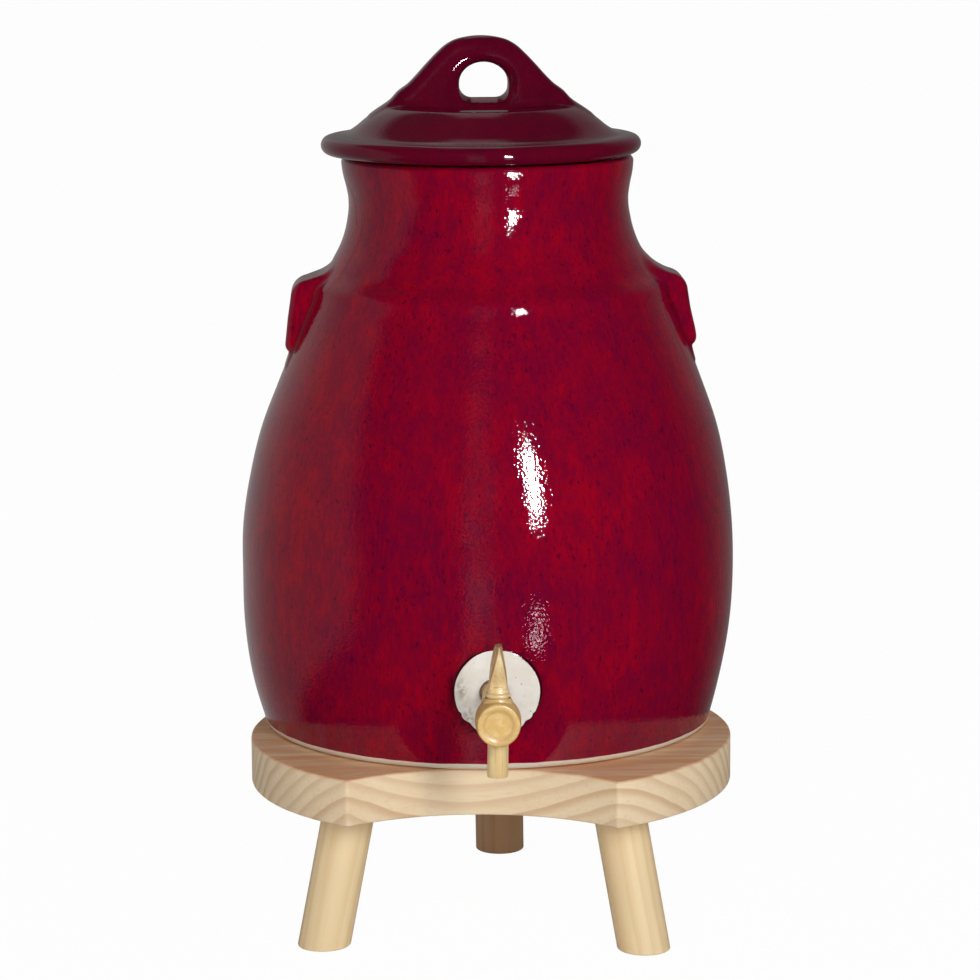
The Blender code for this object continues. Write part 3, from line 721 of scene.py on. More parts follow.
@dataclass(frozen=True)
class SoftWood:
    """Pine with growth rings, cut from a plank whose heart lies off the piece."""

    name: str
    early: Colour
    late: Colour
    tint: Colour
    ring: float
    heart: tuple[float, float]
    grain: Grain
    # Darker, redder colour of the board's top: painted shade and painted red light from the crock.
    painted_top_shaded: Colour = (0.68, 0.34, 0.168)
    own_coordinates: bool = False
    roughness: float = 0.48
    ring_strength: float = 0.8
    relief: float = 0.00006

    def _place(self, made: Surface) -> bpy.types.NodeSocket:
        """Coordinates whose X runs along the fibres.

        Args:
            made: The surface that they are for.

        Returns:
            Socket of the coordinates.
        """
        place = made.vector("grain") if self.own_coordinates else made.place
        parts = made.net.add("ShaderNodeSeparateXYZ", {0: place}).outputs
        order = {Grain.ALONG_X: (0, 1, 2), Grain.ALONG_Y: (1, 0, 2), Grain.ALONG_Z: (2, 0, 1)}[self.grain]
        picked = {name: parts[i] for name, i in zip("XYZ", order)}
        return made.net.add("ShaderNodeCombineXYZ", picked).outputs[0]

    def material(self) -> bpy.types.Material:
        """Build the wood's material.

        The rings are shells round the heart that sway a little along the plank, and each year's late wood has
        its own strength.

        Returns:
            The material, which reads a vertex mask that paints shade and red light on the board's top.
        """
        made = Surface(self.name, self.roughness)
        net = made.net
        place = self._place(made)
        drift = net.add("ShaderNodeTexNoise", {"Vector": net.stretched(place, (0.12, 1.0, 1.0)), "Scale": 22.0,
                                               "Detail": 3.0, "Roughness": 0.5})
        sway = net.vector_math("SUBTRACT", drift.outputs[1], (0.5, 0.5, 0.5))
        sway = net.vector_math("MULTIPLY", sway, (0.0, 0.010, 0.010))
        bent = net.vector_math("ADD", place, sway)
        parts = net.add("ShaderNodeSeparateXYZ", {0: bent}).outputs
        y = net.math("SUBTRACT", parts[1], self.heart[0])
        z = net.math("SUBTRACT", parts[2], self.heart[1])
        reach = net.math("SQRT", net.math("ADD", net.math("MULTIPLY", y, y), net.math("MULTIPLY", z, z)))
        rings = net.math("DIVIDE", reach, self.ring)
        year = net.math("FRACT", rings)
        draw = net.add("ShaderNodeTexWhiteNoise", {"W": net.math("FLOOR", rings)}, noise_dimensions="1D")
        strength = net.span(draw.outputs["Value"], 0.0, 1.0, 0.35 * self.ring_strength, self.ring_strength, False)
        late = net.math("MULTIPLY", net.span(year, 0.30, 0.86), net.span(year, 0.90, 1.0, 1.0, 0.0))
        late = net.math("MULTIPLY", late, strength)
        fibres = net.noise(net.stretched(place, (0.035, 1.0, 1.0)), 900.0, 3.0, 0.6)
        bands = net.noise(net.stretched(place, (0.06, 1.0, 1.0)), 120.0, 3.0, 0.6)
        colour = net.blend(late, self.early, self.late)
        colour = net.blend(net.span(bands, 0.42, 0.72, 0.0, 0.35), colour, self.tint)
        colour = net.blend(net.span(fibres, 0.50, 0.80, 0.0, 0.30), colour, self.late)
        uneven = net.noise(net.stretched(place, (0.12, 1.0, 1.0)), 130.0, 4.0, 0.65)
        # Painted shade and red light on the board's top.
        painted_top_shade = net.math("MULTIPLY", made.mask("painted_top_shade"), net.span(uneven, 0.34, 0.62, 0.35, 1.0))
        colour = net.blend(painted_top_shade, colour, self.painted_top_shaded)
        height = net.math("ADD", fibres, net.math("MULTIPLY", late, 0.4))
        rough = net.span(fibres, 0.3, 0.7, self.roughness - 0.05, self.roughness + 0.12)
        made.connect(colour, rough, height, self.relief)
        return made.material


@dataclass(frozen=True)
class TurnedWood:
    """Pale lathe-turned wood with a thin wax, fine fibres, darker edges and some painted shade."""

    name: str
    main: Colour
    pale: Colour
    dark: Colour
    grain: Grain
    centre: Point
    twist: float = 0.0
    roughness: float = 0.36
    relief: float = 0.00004

    def material(self) -> bpy.types.Material:
        """Build the wood's material, whose grain may wind round its own axis towards the rim.

        Returns:
            The material, which reads a vertex mask for darker edges and lines and for painted shade.
        """
        made = Surface(self.name, self.roughness)
        net = made.net
        line = tuple(1.0 if grain is self.grain else 0.0 for grain in (Grain.ALONG_X, Grain.ALONG_Y, Grain.ALONG_Z))
        squeeze = tuple(0.05 if along else 1.0 for along in line)
        place = net.vector_math("SUBTRACT", made.place, self.centre)
        if self.twist:
            off = net.vector_math("CROSS_PRODUCT", place, line)
            out = net.add("ShaderNodeVectorMath", {0: off}, operation="LENGTH").outputs["Value"]
            angle = net.math("MULTIPLY", out, self.twist)
            place = net.add("ShaderNodeVectorRotate", {"Vector": place, "Axis": line, "Angle": angle}).outputs[0]
        fibres = net.noise(net.stretched(place, squeeze), 1400.0, 3.0, 0.6)
        bands = net.noise(net.stretched(place, squeeze), 260.0, 3.0, 0.55, 0.3)
        blotches = net.noise(place, 120.0, 3.0, 0.5)
        colour = net.blend(net.span(bands, 0.36, 0.66), self.main, self.pale)
        colour = net.blend(net.span(blotches, 0.50, 0.75, 0.0, 0.35), colour, self.dark)
        colour = net.blend(net.span(fibres, 0.52, 0.78, 0.0, 0.35), colour, self.dark)
        # A vertex mask darkens edges and lines, and paints shade on the barrel's top.
        colour = net.blend(made.mask("wear_and_painted_shade"), colour, self.dark)
        made.connect(colour, net.span(fibres, 0.3, 0.7, 0.30, 0.46), fibres, self.relief)
        return made.material


@dataclass(frozen=True)
class CorkBark:
    """Bare cork with dark pores."""

    name: str = "cork_bark"
    main: Colour = (0.40, 0.225, 0.11)
    pale: Colour = (0.56, 0.37, 0.21)
    pore: Colour = (0.06, 0.028, 0.014)
    roughness: float = 0.9
    relief: float = 0.00035

    def material(self) -> bpy.types.Material:
        """Build the cork's material.

        Returns:
            The material, which reads the mask pit.
        """
        made = Surface(self.name, self.roughness)
        net = made.net
        lumps = net.noise(made.place, 700.0, 4.0, 0.65)
        colour = net.blend(net.span(lumps, 0.34, 0.66), self.main, self.pale)
        pores = net.span(net.noise(net.stretched(made.place, (1.0, 0.45, 1.0)), 620.0, 2.0, 0.6), 0.60, 0.68)
        colour = net.blend(pores, colour, self.pore)
        colour = net.blend(net.math("MULTIPLY", made.mask("pit"), 0.9), colour, self.pore)
        height = net.math("SUBTRACT", lumps, pores)
        made.connect(colour, None, height, self.relief)
        return made.material


BARE_FOOT: Colour = (0.66, 0.56, 0.45)
RED_GLAZE = Glaze(
    "crimson_glaze", deep=(0.150, 0.0010, 0.0235), main=(0.205, 0.0009, 0.0180), bright=(0.310, 0.0008, 0.0125),
    speck=(0.066, 0.0010, 0.0170), pooled_and_painted_shade=(0.045, 0.0008, 0.0090), bare=BARE_FOOT,
    mottling=1.0, specks=0.75, peel=0.42, bare_below=0.08245,
)
# The boss's side takes this much darker copy of the red glaze: painted shade.
SHADED_BOSS_GLAZE = Glaze(
    "boss_edge_glaze_painted_shade", deep=(0.045, 0.0008, 0.0080), main=(0.070, 0.0008, 0.0100), bright=(0.12, 0.0008, 0.0100),
    speck=(0.020, 0.001, 0.006), pooled_and_painted_shade=(0.020, 0.0008, 0.0045), bare=BARE_FOOT,
    mottling=0.5, specks=0.5, peel=0.17,
)
LID_GLAZE = Glaze(
    "burgundy_glaze", deep=(0.084, 0.0012, 0.0130), main=(0.100, 0.0014, 0.0140), bright=(0.135, 0.0010, 0.0130),
    speck=(0.030, 0.0012, 0.0080), pooled_and_painted_shade=(0.022, 0.0008, 0.0050), bare=BARE_FOOT,
    mottling=0.35, specks=0.35, peel=0.20,
)
CLAY = BareClay()
CORK = CorkBark()
BOARD_WOOD = SoftWood(
    "board_pine", early=(0.85, 0.675, 0.450), late=(0.61, 0.375, 0.195), tint=(0.77, 0.55, 0.335), ring=0.0056,
    heart=(-0.166, -0.0455), grain=Grain.ALONG_X, ring_strength=0.85,
)
LEG_WOOD = SoftWood(
    "leg_pine", early=(0.84, 0.655, 0.390), late=(0.70, 0.465, 0.225), tint=(0.77, 0.54, 0.285), ring=0.0047,
    heart=(0.021, 0.030), grain=Grain.ALONG_Z, own_coordinates=True, ring_strength=0.45,
)
# The back leg's pine is a much darker copy of the legs' pine: painted shade under the board.
SHADED_BACK_LEG_WOOD = SoftWood(
    "back_leg_pine_painted_shade", early=(0.46, 0.27, 0.14), late=(0.30, 0.16, 0.075), tint=(0.38, 0.21, 0.10), ring=0.0043,
    heart=(0.026, 0.022), grain=Grain.ALONG_Z, own_coordinates=True, ring_strength=0.5,
)
TAP_WOOD = TurnedWood(
    "tap_wood", main=(0.74, 0.475, 0.165), pale=(0.83, 0.590, 0.250), dark=(0.48, 0.25, 0.085),
    grain=Grain.ALONG_Y, centre=(-0.0014, 0.0, 0.1163), twist=170.0,
)
KEY_WOOD = TurnedWood(
    "key_wood", main=(0.75, 0.53, 0.240), pale=(0.83, 0.64, 0.340), dark=(0.30, 0.14, 0.07),
    grain=Grain.ALONG_Z, centre=(-0.0014, -0.12814, 0.1163),
)


class Lathe:
    """Turned forms: a Geometry Nodes tree carries a section round an axis."""

    def __init__(self) -> None:
        """Build the tree once for every turned piece."""
        tree = bpy.data.node_groups.new("Turned form", "GeometryNodeTree")
        face = tree.interface
        face.new_socket("Section", in_out="INPUT", socket_type="NodeSocketGeometry")
        steps = face.new_socket("Steps", in_out="INPUT", socket_type="NodeSocketInt")
        steps.default_value, steps.min_value = 64, 3
        crowding = face.new_socket("Crowding", in_out="INPUT", socket_type="NodeSocketFloat")
        crowding.default_value = 0.0
        uneven = face.new_socket("Unevenness", in_out="INPUT", socket_type="NodeSocketFloat")
        uneven.default_value = 0.0
        seed = face.new_socket("Seed", in_out="INPUT", socket_type="NodeSocketFloat")
        seed.default_value = 3.0
        face.new_socket("Finish", in_out="INPUT", socket_type="NodeSocketMaterial")
        face.new_socket("Form", in_out="OUTPUT", socket_type="NodeSocketGeometry")
        self.tree = tree
        self._lay_nodes()
        self.sockets = {item.name: item.identifier for item in face.items_tree if item.in_out == "INPUT"}

    def _lay_nodes(self) -> None:
        """Lay a grid of steps by section points, and roll it up round Z.

        The two ends of the grid meet, so the seam is merged, and so is each row of points on the axis.
        """
        net = NodeNet(self.tree)
        given = net.add("NodeGroupInput").outputs
        size = net.add("GeometryNodeAttributeDomainSize", {0: given["Section"]}, component="MESH")
        count = size.outputs["Point Count"]
        columns = net.add("FunctionNodeIntegerMath", {0: given["Steps"], 1: 1}, operation="ADD").outputs[0]
        grid = net.add("GeometryNodeMeshGrid", {"Vertices X": columns, "Vertices Y": count}).outputs["Mesh"]
        index = net.add("GeometryNodeInputIndex").outputs[0]
        row = net.add("FunctionNodeIntegerMath", {0: index, 1: count}, operation="MODULO").outputs[0]
        column = net.add("FunctionNodeIntegerMath", {0: index, 1: count}, operation="DIVIDE").outputs[0]
        sample = net.add("GeometryNodeSampleIndex", data_type="FLOAT_VECTOR", domain="POINT")
        self.tree.links.new(given["Section"], sample.inputs["Geometry"])
        self.tree.links.new(net.add("GeometryNodeInputPosition").outputs[0], sample.inputs["Value"])
        self.tree.links.new(row, sample.inputs["Index"])
        point = net.add("ShaderNodeSeparateXYZ", {0: sample.outputs["Value"]}).outputs
        share = net.math("DIVIDE", column, given["Steps"])
        turn = net.math("MULTIPLY", share, 2 * math.pi)
        pull = net.math("MULTIPLY", net.math("SINE", net.math("MULTIPLY", turn, 2.0)), given["Crowding"])
        turn = net.math("SUBTRACT", turn, net.math("MULTIPLY", pull, 0.5))
        cos, sin = net.math("COSINE", turn), net.math("SINE", turn)
        spot = net.add("ShaderNodeCombineXYZ", {0: cos, 1: sin, 2: net.math("MULTIPLY", point[2], 9.0)}).outputs[0]
        wave = net.add("ShaderNodeTexNoise", {"Vector": spot, "W": given["Seed"], "Scale": 1.3, "Detail": 1.0},
                       noise_dimensions="4D").outputs[0]
        swell = net.math("MULTIPLY", net.math("SUBTRACT", wave, 0.5), given["Unevenness"])
        swell = net.math("MULTIPLY", swell, net.span(point[0], 0.0, 0.02))
        radius = net.math("ADD", point[0], swell)
        place = net.add("ShaderNodeCombineXYZ", {0: net.math("MULTIPLY", radius, cos),
                                                 1: net.math("MULTIPLY", radius, sin), 2: point[2]}).outputs[0]
        rolled = net.add("GeometryNodeSetPosition", {"Geometry": grid, "Position": place}).outputs[0]
        closed = net.add("GeometryNodeMergeByDistance", {"Geometry": rolled, "Distance": WELD}).outputs[0]
        real = net.add("GeometryNodeRealizeInstances", {"Geometry": closed}).outputs[0]
        dressed = net.add("GeometryNodeSetMaterial", {"Geometry": real, "Material": given["Finish"]}).outputs[0]
        net.add("NodeGroupOutput", {"Form": dressed})

    def turn(self, name: str, section: Section, steps: int, finish: bpy.types.Material | None = None,
             crowding: float = 0.0, unevenness: float = 0.0) -> bpy.types.Object:
        """Turn a section round Z.

        Args:
            name: The new object's name.
            section: Points as (radius, height), closed on the axis or on itself.
            steps: How many steps go round.
            finish: The material of the result.
            crowding: How far the steps draw together towards the two sides in X, from 0 to 1.
            unevenness: How far the radius wanders, in metres.

        Returns:
            The turned form as a plain closed mesh.
        """
        mesh = bpy.data.meshes.new(name)
        mesh.from_pydata([(r, 0.0, z) for r, z in section], [(i, i + 1) for i in range(len(section) - 1)], [])
        made = new_piece(name, mesh)
        nodes = made.modifiers.new("lathe", "NODES")
        nodes.node_group = self.tree
        for key, value in (("Steps", steps), ("Crowding", crowding), ("Unevenness", unevenness), ("Seed", 3.0),
                           ("Finish", finish)):
            if value is not None:
                nodes[self.sockets[key]] = value
        make_plain(made)
        face_outwards(made.data)
        if finish is not None:
            finish_all(made.data, finish)
        return made


def lay_forward(obj: bpy.types.Object, place: Point) -> None:
    """Lay a form turned round Z along the tap's axis, with its top facing forwards, and move it to a place."""
    obj.data.transform(Matrix.Translation(place) @ Matrix.Rotation(math.radians(90), 4, "X"))


@dataclass
class Crock:
    """The glazed pot with its ears, its bare foot and the boss around the tap's hole.

    A distance along the radius, times the slope, is about the distance square to the wall.
    """

    lathe: Lathe
    steps: int = 384
    crowding: float = 0.5
    unevenness: float = 0.0006
    axis_y: float = 0.02914
    foot_z: float = 0.0803
    wall: float = 0.007
    floor: float = 0.009
    floor_corner: float = 0.012
    foot_edge: float = 0.003
    foot_ring: float = 0.014
    foot_recess: float = 0.0025
    ring_edge: float = 0.0012
    lip_edge: float = 0.0025
    slope: float = 0.93
    rows: tuple[tuple[float, float, int], ...] = (
        (0.0048, 0.066, 18), (0.0695, 0.148, 24), (0.1492, 0.187, 38), (0.1878, 0.2235, 46), (0.2255, 0.2488, 13),
    )
    knots: Knots = (
        (0.0, 0.0988), (0.0165, 0.10326), (0.033, 0.10645), (0.0495, 0.10832), (0.066, 0.10889),
        (0.08886, 0.10846), (0.11045, 0.10559), (0.13204, 0.10071), (0.15363, 0.09275), (0.17268, 0.08511),
        (0.193, 0.0765), (0.20002, 0.07219), (0.20665, 0.06865), (0.21211, 0.06572), (0.21757, 0.06356),
        (0.2242, 0.06195), (0.232, 0.0611), (0.23872, 0.06205), (0.2446, 0.06337), (0.2488, 0.0638),
    )
    bead_height: float = 0.1956
    bead: float = 0.0019
    bead_width: float = 0.0042
    sway: Knots = (
        (0.0, -0.0006), (0.020, -0.0009), (0.046, -0.0004), (0.066, 0.0), (0.089, 0.0), (0.111, 0.0005),
        (0.137, 0.0011), (0.165, 0.0017), (0.207, 0.0017), (0.229, 0.0013), (0.244, 0.0009), (0.2513, 0.0008),
    )
    ear_top: float = 0.2035
    ear_bottom: float = 0.1615
    ear_width: float = 0.032
    ear_tip_width: float = 0.025
    ear_taper_from: float = 0.0722
    ear_taper: float = 0.018
    ear_edge: float = 0.0034
    ear_left_drop: float = 0.0015
    ear_right_draw: float = 0.0013
    ear_crease: float = 0.0022
    ear_right_fillet: float = 0.0058
    ear_left_fillet: float = 0.0016
    ear_root: tuple[float, float] = (0.066, 0.183)
    ear_reach: float = 0.030
    ear_zone: tuple[float, float] = (0.1495, 0.2235)
    ear_zone_half: float = 0.029
    draw_rounds: int = 70
    even_rounds: int = 60
    ear_outline: Section = field(default_factory=list)
    pool_width: float = 0.0011
    tap_height: float = 0.036
    boss_steps: int = 160
    boss_radius: float = 0.0184
    boss_reach: float = 0.10928
    boss_edge: float = 0.0008
    boss_chips: tuple[tuple[float, float, float], ...] = (
        (-0.80, 0.09, 0.0008), (-0.55, 0.04, 0.0005), (-2.30, 0.11, 0.0008), (-2.62, 0.05, 0.0006),
    )
    boss_glazed_rings: int = 8
    hole_shift: float = -0.0014
    hole_radius: float = 0.0059

    def __post_init__(self) -> None:
        """Draw the ears' outline from their sizes."""
        root = float(self.wall_radius(np.array([self.ear_top]))[0])
        low = float(self.wall_radius(np.array([self.ear_bottom]))[0])
        self.ear_outline = [(root, self.ear_top)]
        self.ear_outline += arc((0.0796, 0.1920), 0.0080, 80, 2, 8)
        self.ear_outline += [(0.0890, 0.1830)] + arc((0.0862, 0.1715), 0.0040, 5, -60, 5)
        self.ear_outline += [(low, self.ear_bottom), (low - 0.010, self.ear_bottom), (root - 0.010, self.ear_top)]

    def wall_radius(self, heights: np.ndarray) -> np.ndarray:
        """Outside radius of the wall at heights above the foot, with its bead."""
        return value_along(self.knots, heights) + self.bead * hump(heights, self.bead_height, self.bead_width)

    def wall_distance(self, points: np.ndarray) -> np.ndarray:
        """Signed distance to the wall's outside, in the pot's own coordinates."""
        return (np.hypot(points[:, 0], points[:, 1]) - self.wall_radius(points[:, 2])) * self.slope

    def section(self) -> Section:
        """The pot's section: from under its foot up the outside, over the lip and down to its floor.

        Returns:
            Points as (radius, height above the foot), which start and end on the axis.
        """
        side = float(self.wall_radius(np.array([self.foot_edge]))[0]) - self.foot_edge
        ring, soft = side - self.foot_ring, self.ring_edge
        made = [(0.0, self.foot_recess), (ring * 0.4, self.foot_recess), (ring * 0.8, self.foot_recess)]
        made += arc((ring - soft, self.foot_recess - soft), soft, 90, 20, 3)
        made += arc((ring + soft, soft), soft, 200, 270, 3)
        made += arc((side, self.foot_edge), self.foot_edge, -90, 0, 8)[1:]
        heights = np.concatenate([np.linspace(low, high, count) for low, high, count in self.rows])
        made += [(float(r), float(z)) for r, z in zip(self.wall_radius(heights), heights)]
        lip_height, lip_radius = self.knots[-1]
        made += arc((lip_radius - self.lip_edge, lip_height), self.lip_edge, 10, 90, 7)
        made += arc((lip_radius - self.wall + self.lip_edge, lip_height), self.lip_edge, 90, 180, 8)
        inside = np.linspace(lip_height - 0.004, self.floor + 0.013, 44)
        thin = value_along(self.knots, inside) - self.wall
        made += [(float(r), float(z)) for r, z in zip(thin, inside)]
        bend = self.floor_corner
        corner = float(value_along(self.knots, np.array([self.floor + bend]))[0]) - self.wall - bend
        made += arc((corner, self.floor + bend), bend, 0, -90, 8)
        return made + [(corner * share, self.floor) for share in (0.8, 0.6, 0.4, 0.2, 0.0)]

    def ear_distance(self, points: np.ndarray, side: int) -> np.ndarray:
        """Distance to one ear's rounded plate, in the pot's own coordinates.

        Args:
            points: The points to measure from.
            side: 1 for the right ear, -1 for the left one.

        Returns:
            Signed distances, negative inside the ear.
        """
        across = points[:, 0] * side
        up = points[:, 2] + (self.ear_left_drop if side < 0 else 0.0)
        if side > 0:
            across = across + self.ear_right_draw * smooth_step(0.172, 0.186, up)
        share = np.clip((across - self.ear_taper_from) / self.ear_taper, 0.0, 1.0)
        half = (self.ear_width + (self.ear_tip_width - self.ear_width) * share) / 2
        flat = outline_distance(across, up, self.ear_outline)
        return plate_distance(flat, np.abs(points[:, 1]) - half, self.ear_edge)

    def outside_distance(self, points: np.ndarray) -> np.ndarray:
        """Distance to the filled outer form: the wall with an ear worked into it.

        Args:
            points: The points to measure from, all of them at the same ear.

        Returns:
            Signed distances, negative inside the form.
        """
        side = 1 if points[:, 0].mean() > 0 else -1
        fillet = self.ear_right_fillet if side > 0 else self.ear_left_fillet
        width = self.ear_crease + fillet * smooth_step(0.194, 0.203, points[:, 2])
        return smooth_join(self.wall_distance(points), self.ear_distance(points, side), width)

    def raise_ear(self, points: np.ndarray, edges: np.ndarray, side: int) -> np.ndarray:
        """Draw one ear out of the wall's own mesh.

        Args:
            points: The pot's vertices, changed in place.
            edges: The mesh's edges.
            side: 1 for the right ear, -1 for the left one.

        Returns:
            The numbers of the vertices that take part.
        """
        radius = np.hypot(points[:, 0], points[:, 1])
        low, high = self.ear_zone
        outer = radius > self.wall_radius(points[:, 2]) - 0.003
        chosen = outer & (points[:, 0] * side > 0) & (np.abs(points[:, 1]) < self.ear_zone_half)
        chosen &= (points[:, 2] > low) & (points[:, 2] < high)
        picked = np.flatnonzero(chosen)
        start = points[picked]
        origin = np.array([side * self.ear_root[0], 0.0, self.ear_root[1]])
        way = start - origin
        reach = np.linalg.norm(way, axis=1)
        way /= reach[:, None]
        travel = reach + self.ear_reach
        for _ in range(self.draw_rounds):
            travel -= np.maximum(self.outside_distance(origin + way * travel[:, None]), 0.0) * 0.9
        placed = origin + way * np.maximum(travel, reach)[:, None]
        number = -np.ones(len(points), dtype=np.int64)
        number[picked] = np.arange(len(picked))
        both = (number[edges] >= 0).all(axis=1)
        rim = np.zeros(len(picked), dtype=bool)
        rim[number[edges[(number[edges] >= 0).any(axis=1) & ~both]].max(axis=1)] = True
        points[picked] = self.even_out(placed, start, number[edges[both]], rim)
        return picked

    def even_out(self, placed: np.ndarray, start: np.ndarray, pairs: np.ndarray, rim: np.ndarray) -> np.ndarray:
        """Spread an ear's vertices evenly over its form, and put those of the rim back on the wall.

        Args:
            placed: The vertices on the ear's form.
            start: The same vertices where they lay on the wall.
            pairs: The edges between them.
            rim: Which of them join the rest of the wall.

        Returns:
            The vertices in their new places.
        """
        for _ in range(self.even_rounds):
            total, count = np.zeros_like(placed), np.zeros(len(placed))
            for a, b in ((0, 1), (1, 0)):
                np.add.at(total, pairs[:, a], placed[pairs[:, b]])
                np.add.at(count, pairs[:, a], 1)
            smooth = total / np.maximum(count, 1)[:, None]
            smooth[rim] = placed[rim]
            placed = settle(placed * 0.5 + smooth * 0.5, self.outside_distance, 1)
            placed[rim] = start[rim]
        placed = settle(placed, self.outside_distance, 2)
        placed[rim] = start[rim]
        return placed

    def flame(self, points: np.ndarray) -> np.ndarray:
        """How far the glaze brightens: most at the right of the belly, less on the shoulder, partly as painted light
        where the key lamp falls.
        """
        across, up = points[:, 0], points[:, 2]
        belly = hump(across, 0.028, 0.030) * hump(up, 0.145, 0.055)
        return belly + 0.7 * hump(across, -0.002, 0.034) * hump(up, 0.222, 0.022)

    def build(self) -> bpy.types.Object:
        """Turn the pot, draw out its ears, cut the hole for the cork and put it on its foot.

        Returns:
            The pot.
        """
        clay, glaze = CLAY.material(), RED_GLAZE.material()
        pot = self.lathe.turn("crock_glazed_body", self.section(), self.steps, glaze, self.crowding, self.unevenness)
        points, edges = mesh_points(pot.data), mesh_edges(pot.data)
        # Darkening in the ears' creases and in a ring round the boss: partly pooled glaze, partly painted shade.
        pooled_and_painted_shade = np.zeros(len(points))
        for side in (1, -1):
            picked = self.raise_ear(points, edges, side)
            near = points[picked]
            crease = hump(self.wall_distance(near), 0.0, self.pool_width)
            crease *= hump(self.ear_distance(near, side), 0.0, self.pool_width)
            pooled_and_painted_shade[picked] = crease * (1 - smooth_step(0.192, 0.202, near[:, 2])) * 0.9
        front = points[:, 1] < -0.05
        ring = np.hypot(points[:, 0], points[:, 2] - self.tap_height) - self.boss_radius
        pooled_and_painted_shade = np.maximum(pooled_and_painted_shade, np.where(front, hump(ring, 0.0002, 0.0008), 0.0) * 0.75)
        # Brighter glaze at the belly's right and on the shoulder, kept to the front and the upper part: partly
        # painted light.
        flame = self.flame(points)
        points[:, 0] += value_along(self.sway, points[:, 2])
        points += np.array([0.0, self.axis_y, self.foot_z])
        set_mesh_points(pot.data, points)
        store_mask(pot.data, "pooled_and_painted_shade", pooled_and_painted_shade)
        store_mask(pot.data, "flame", np.where(front | (points[:, 2] > 0.15), flame, 0.0))
        cut, reach = self.hole_radius + 0.0004, 0.02
        hole = self.lathe.turn("hole", [(0, reach), (cut, reach), (cut, -reach), (0, -reach)], 64)
        lay_forward(hole, (self.hole_shift, self.axis_y - 0.1065, self.foot_z + self.tap_height))
        carve(pot, [hole])
        shade(pot.data, 50)
        hand_over(pot, Body.CROCK, Slot.RED_GLAZE, "crock_body")
        self.build_boss(clay)
        return pot

    def wall_depth(self, radius: np.ndarray, turns: np.ndarray) -> np.ndarray:
        """How far forward the wall lies at distances and angles round the boss's middle."""
        heights = self.tap_height + radius * np.sin(turns)
        return np.sqrt(self.wall_radius(heights) ** 2 - (radius * np.cos(turns)) ** 2)

    def boss_rim(self, turns: np.ndarray) -> np.ndarray:
        """The boss's radius at angles round it, with its chips."""
        chips = 0.00007 * np.sin(3 * turns + 1.0) + 0.00005 * np.sin(7 * turns)
        for at, wide, deep in self.boss_chips:
            gap = np.angle(np.exp(1j * (turns - at)))
            chips = chips - deep * hump(gap, 0.0, wide)
        return self.boss_radius + chips

    def boss_rings(self, turns: np.ndarray) -> list[tuple[np.ndarray, np.ndarray, float]]:
        """The rings of the boss: up its side, over its edge, across its face and into the hole.

        Args:
            turns: The angles round the boss that each ring has points at.

        Returns:
            Each ring's radii, how far forward its points lie, and its shift to the right.
        """
        rim = self.boss_rim(turns)
        proud = self.boss_reach - self.wall_depth(rim, turns)
        flare = np.clip(proud * 0.35, 0.0003, 0.0007)
        edge = np.clip(proud * 0.5, 0.0003, self.boss_edge)
        rings = [(rim + flare, self.wall_depth(rim + flare, turns) - 0.0002, 0.0)]
        for turn in np.radians([15, 35, 55, 75]):
            forward = self.wall_depth(rim, turns) + flare * (1 - np.cos(turn)) - 0.0001
            rings.append((rim + flare * (1 - np.sin(turn)), forward, 0.0))
        for turn in np.radians([0, 22, 45, 68, 90]):
            rings.append((rim - edge * (1 - np.cos(turn)), self.boss_reach - edge * (1 - np.sin(turn)), 0.0))
        level = np.full(len(turns), self.boss_reach)
        for share, shift in ((0.97, 0.0), (0.90, 0.1), (0.80, 0.3), (0.68, 0.6), (0.55, 0.9), (0.46, 1.0)):
            rings.append((rim * share, level, self.hole_shift * shift))
        inner = np.full(len(turns), self.hole_radius)
        for radius, back in ((inner + 0.0003, 0.0), (inner, 0.0004), (inner, 0.0090)):
            rings.append((radius, level - back, self.hole_shift))
        return rings

    def build_boss(self, clay: bpy.types.Material) -> bpy.types.Object:
        """The round boss, worked onto the wall: glazed round its side in a darker glaze that is painted shade, bare
        on its face.

        Args:
            clay: The finish of its face.

        Returns:
            The boss.
        """
        turns = np.arange(self.boss_steps) * 2 * math.pi / self.boss_steps
        cos, sin = np.cos(turns), np.sin(turns)
        rings = self.boss_rings(turns)
        rows = [np.stack([r * cos + x, -d, self.tap_height + r * sin], axis=1) for r, d, x in rings]
        points = np.concatenate(rows)
        flat = np.abs(points[:, 1] + self.boss_reach) < 0.0002
        points[:, 1] += np.where(flat, ripple(points, 0.012, 5) * 0.00012 + 0.00012, 0.0)
        faces = ring_faces(len(rings), self.boss_steps)
        mesh = bpy.data.meshes.new("tap_boss")
        mesh.from_pydata(points.tolist(), [], faces)
        mesh.materials.append(clay)
        # The glazed side of the boss is painted darker: painted shade.
        mesh.materials.append(SHADED_BOSS_GLAZE.material())
        glazed = self.boss_steps * self.boss_glazed_rings
        mesh.polygons.foreach_set("material_index", [1 if n < glazed else 0 for n in range(len(faces))])
        across, up = points[:, 0], points[:, 2]
        # A grey smudge left of the tap, partly a painted shadow of the tap.
        stain_and_painted_shadow = hump(across, -0.0150, 0.0022) * hump(up, 0.0375, 0.0040)
        stain_and_painted_shadow += 0.7 * hump(across, -0.0120, 0.0030) * hump(up, 0.0260, 0.0050)
        dot = np.hypot(across + 0.0158, up - 0.0372)
        store_mask(mesh, "smudge_and_painted_shadow", np.clip(stain_and_painted_shadow, 0, 1))
        store_mask(mesh, "dot", (dot < 0.0007) * 1.0)
        # The whole glazed side is darkened further: painted shade.
        store_mask(mesh, "pooled_and_painted_shade", np.full(len(points), 0.35))
        mesh.transform(Matrix.Translation((0.0, self.axis_y, self.foot_z)))
        boss = new_piece("tap_boss", mesh)
        shade(mesh, 60)
        return hand_over(boss, Body.CROCK, Slot.RED_GLAZE)


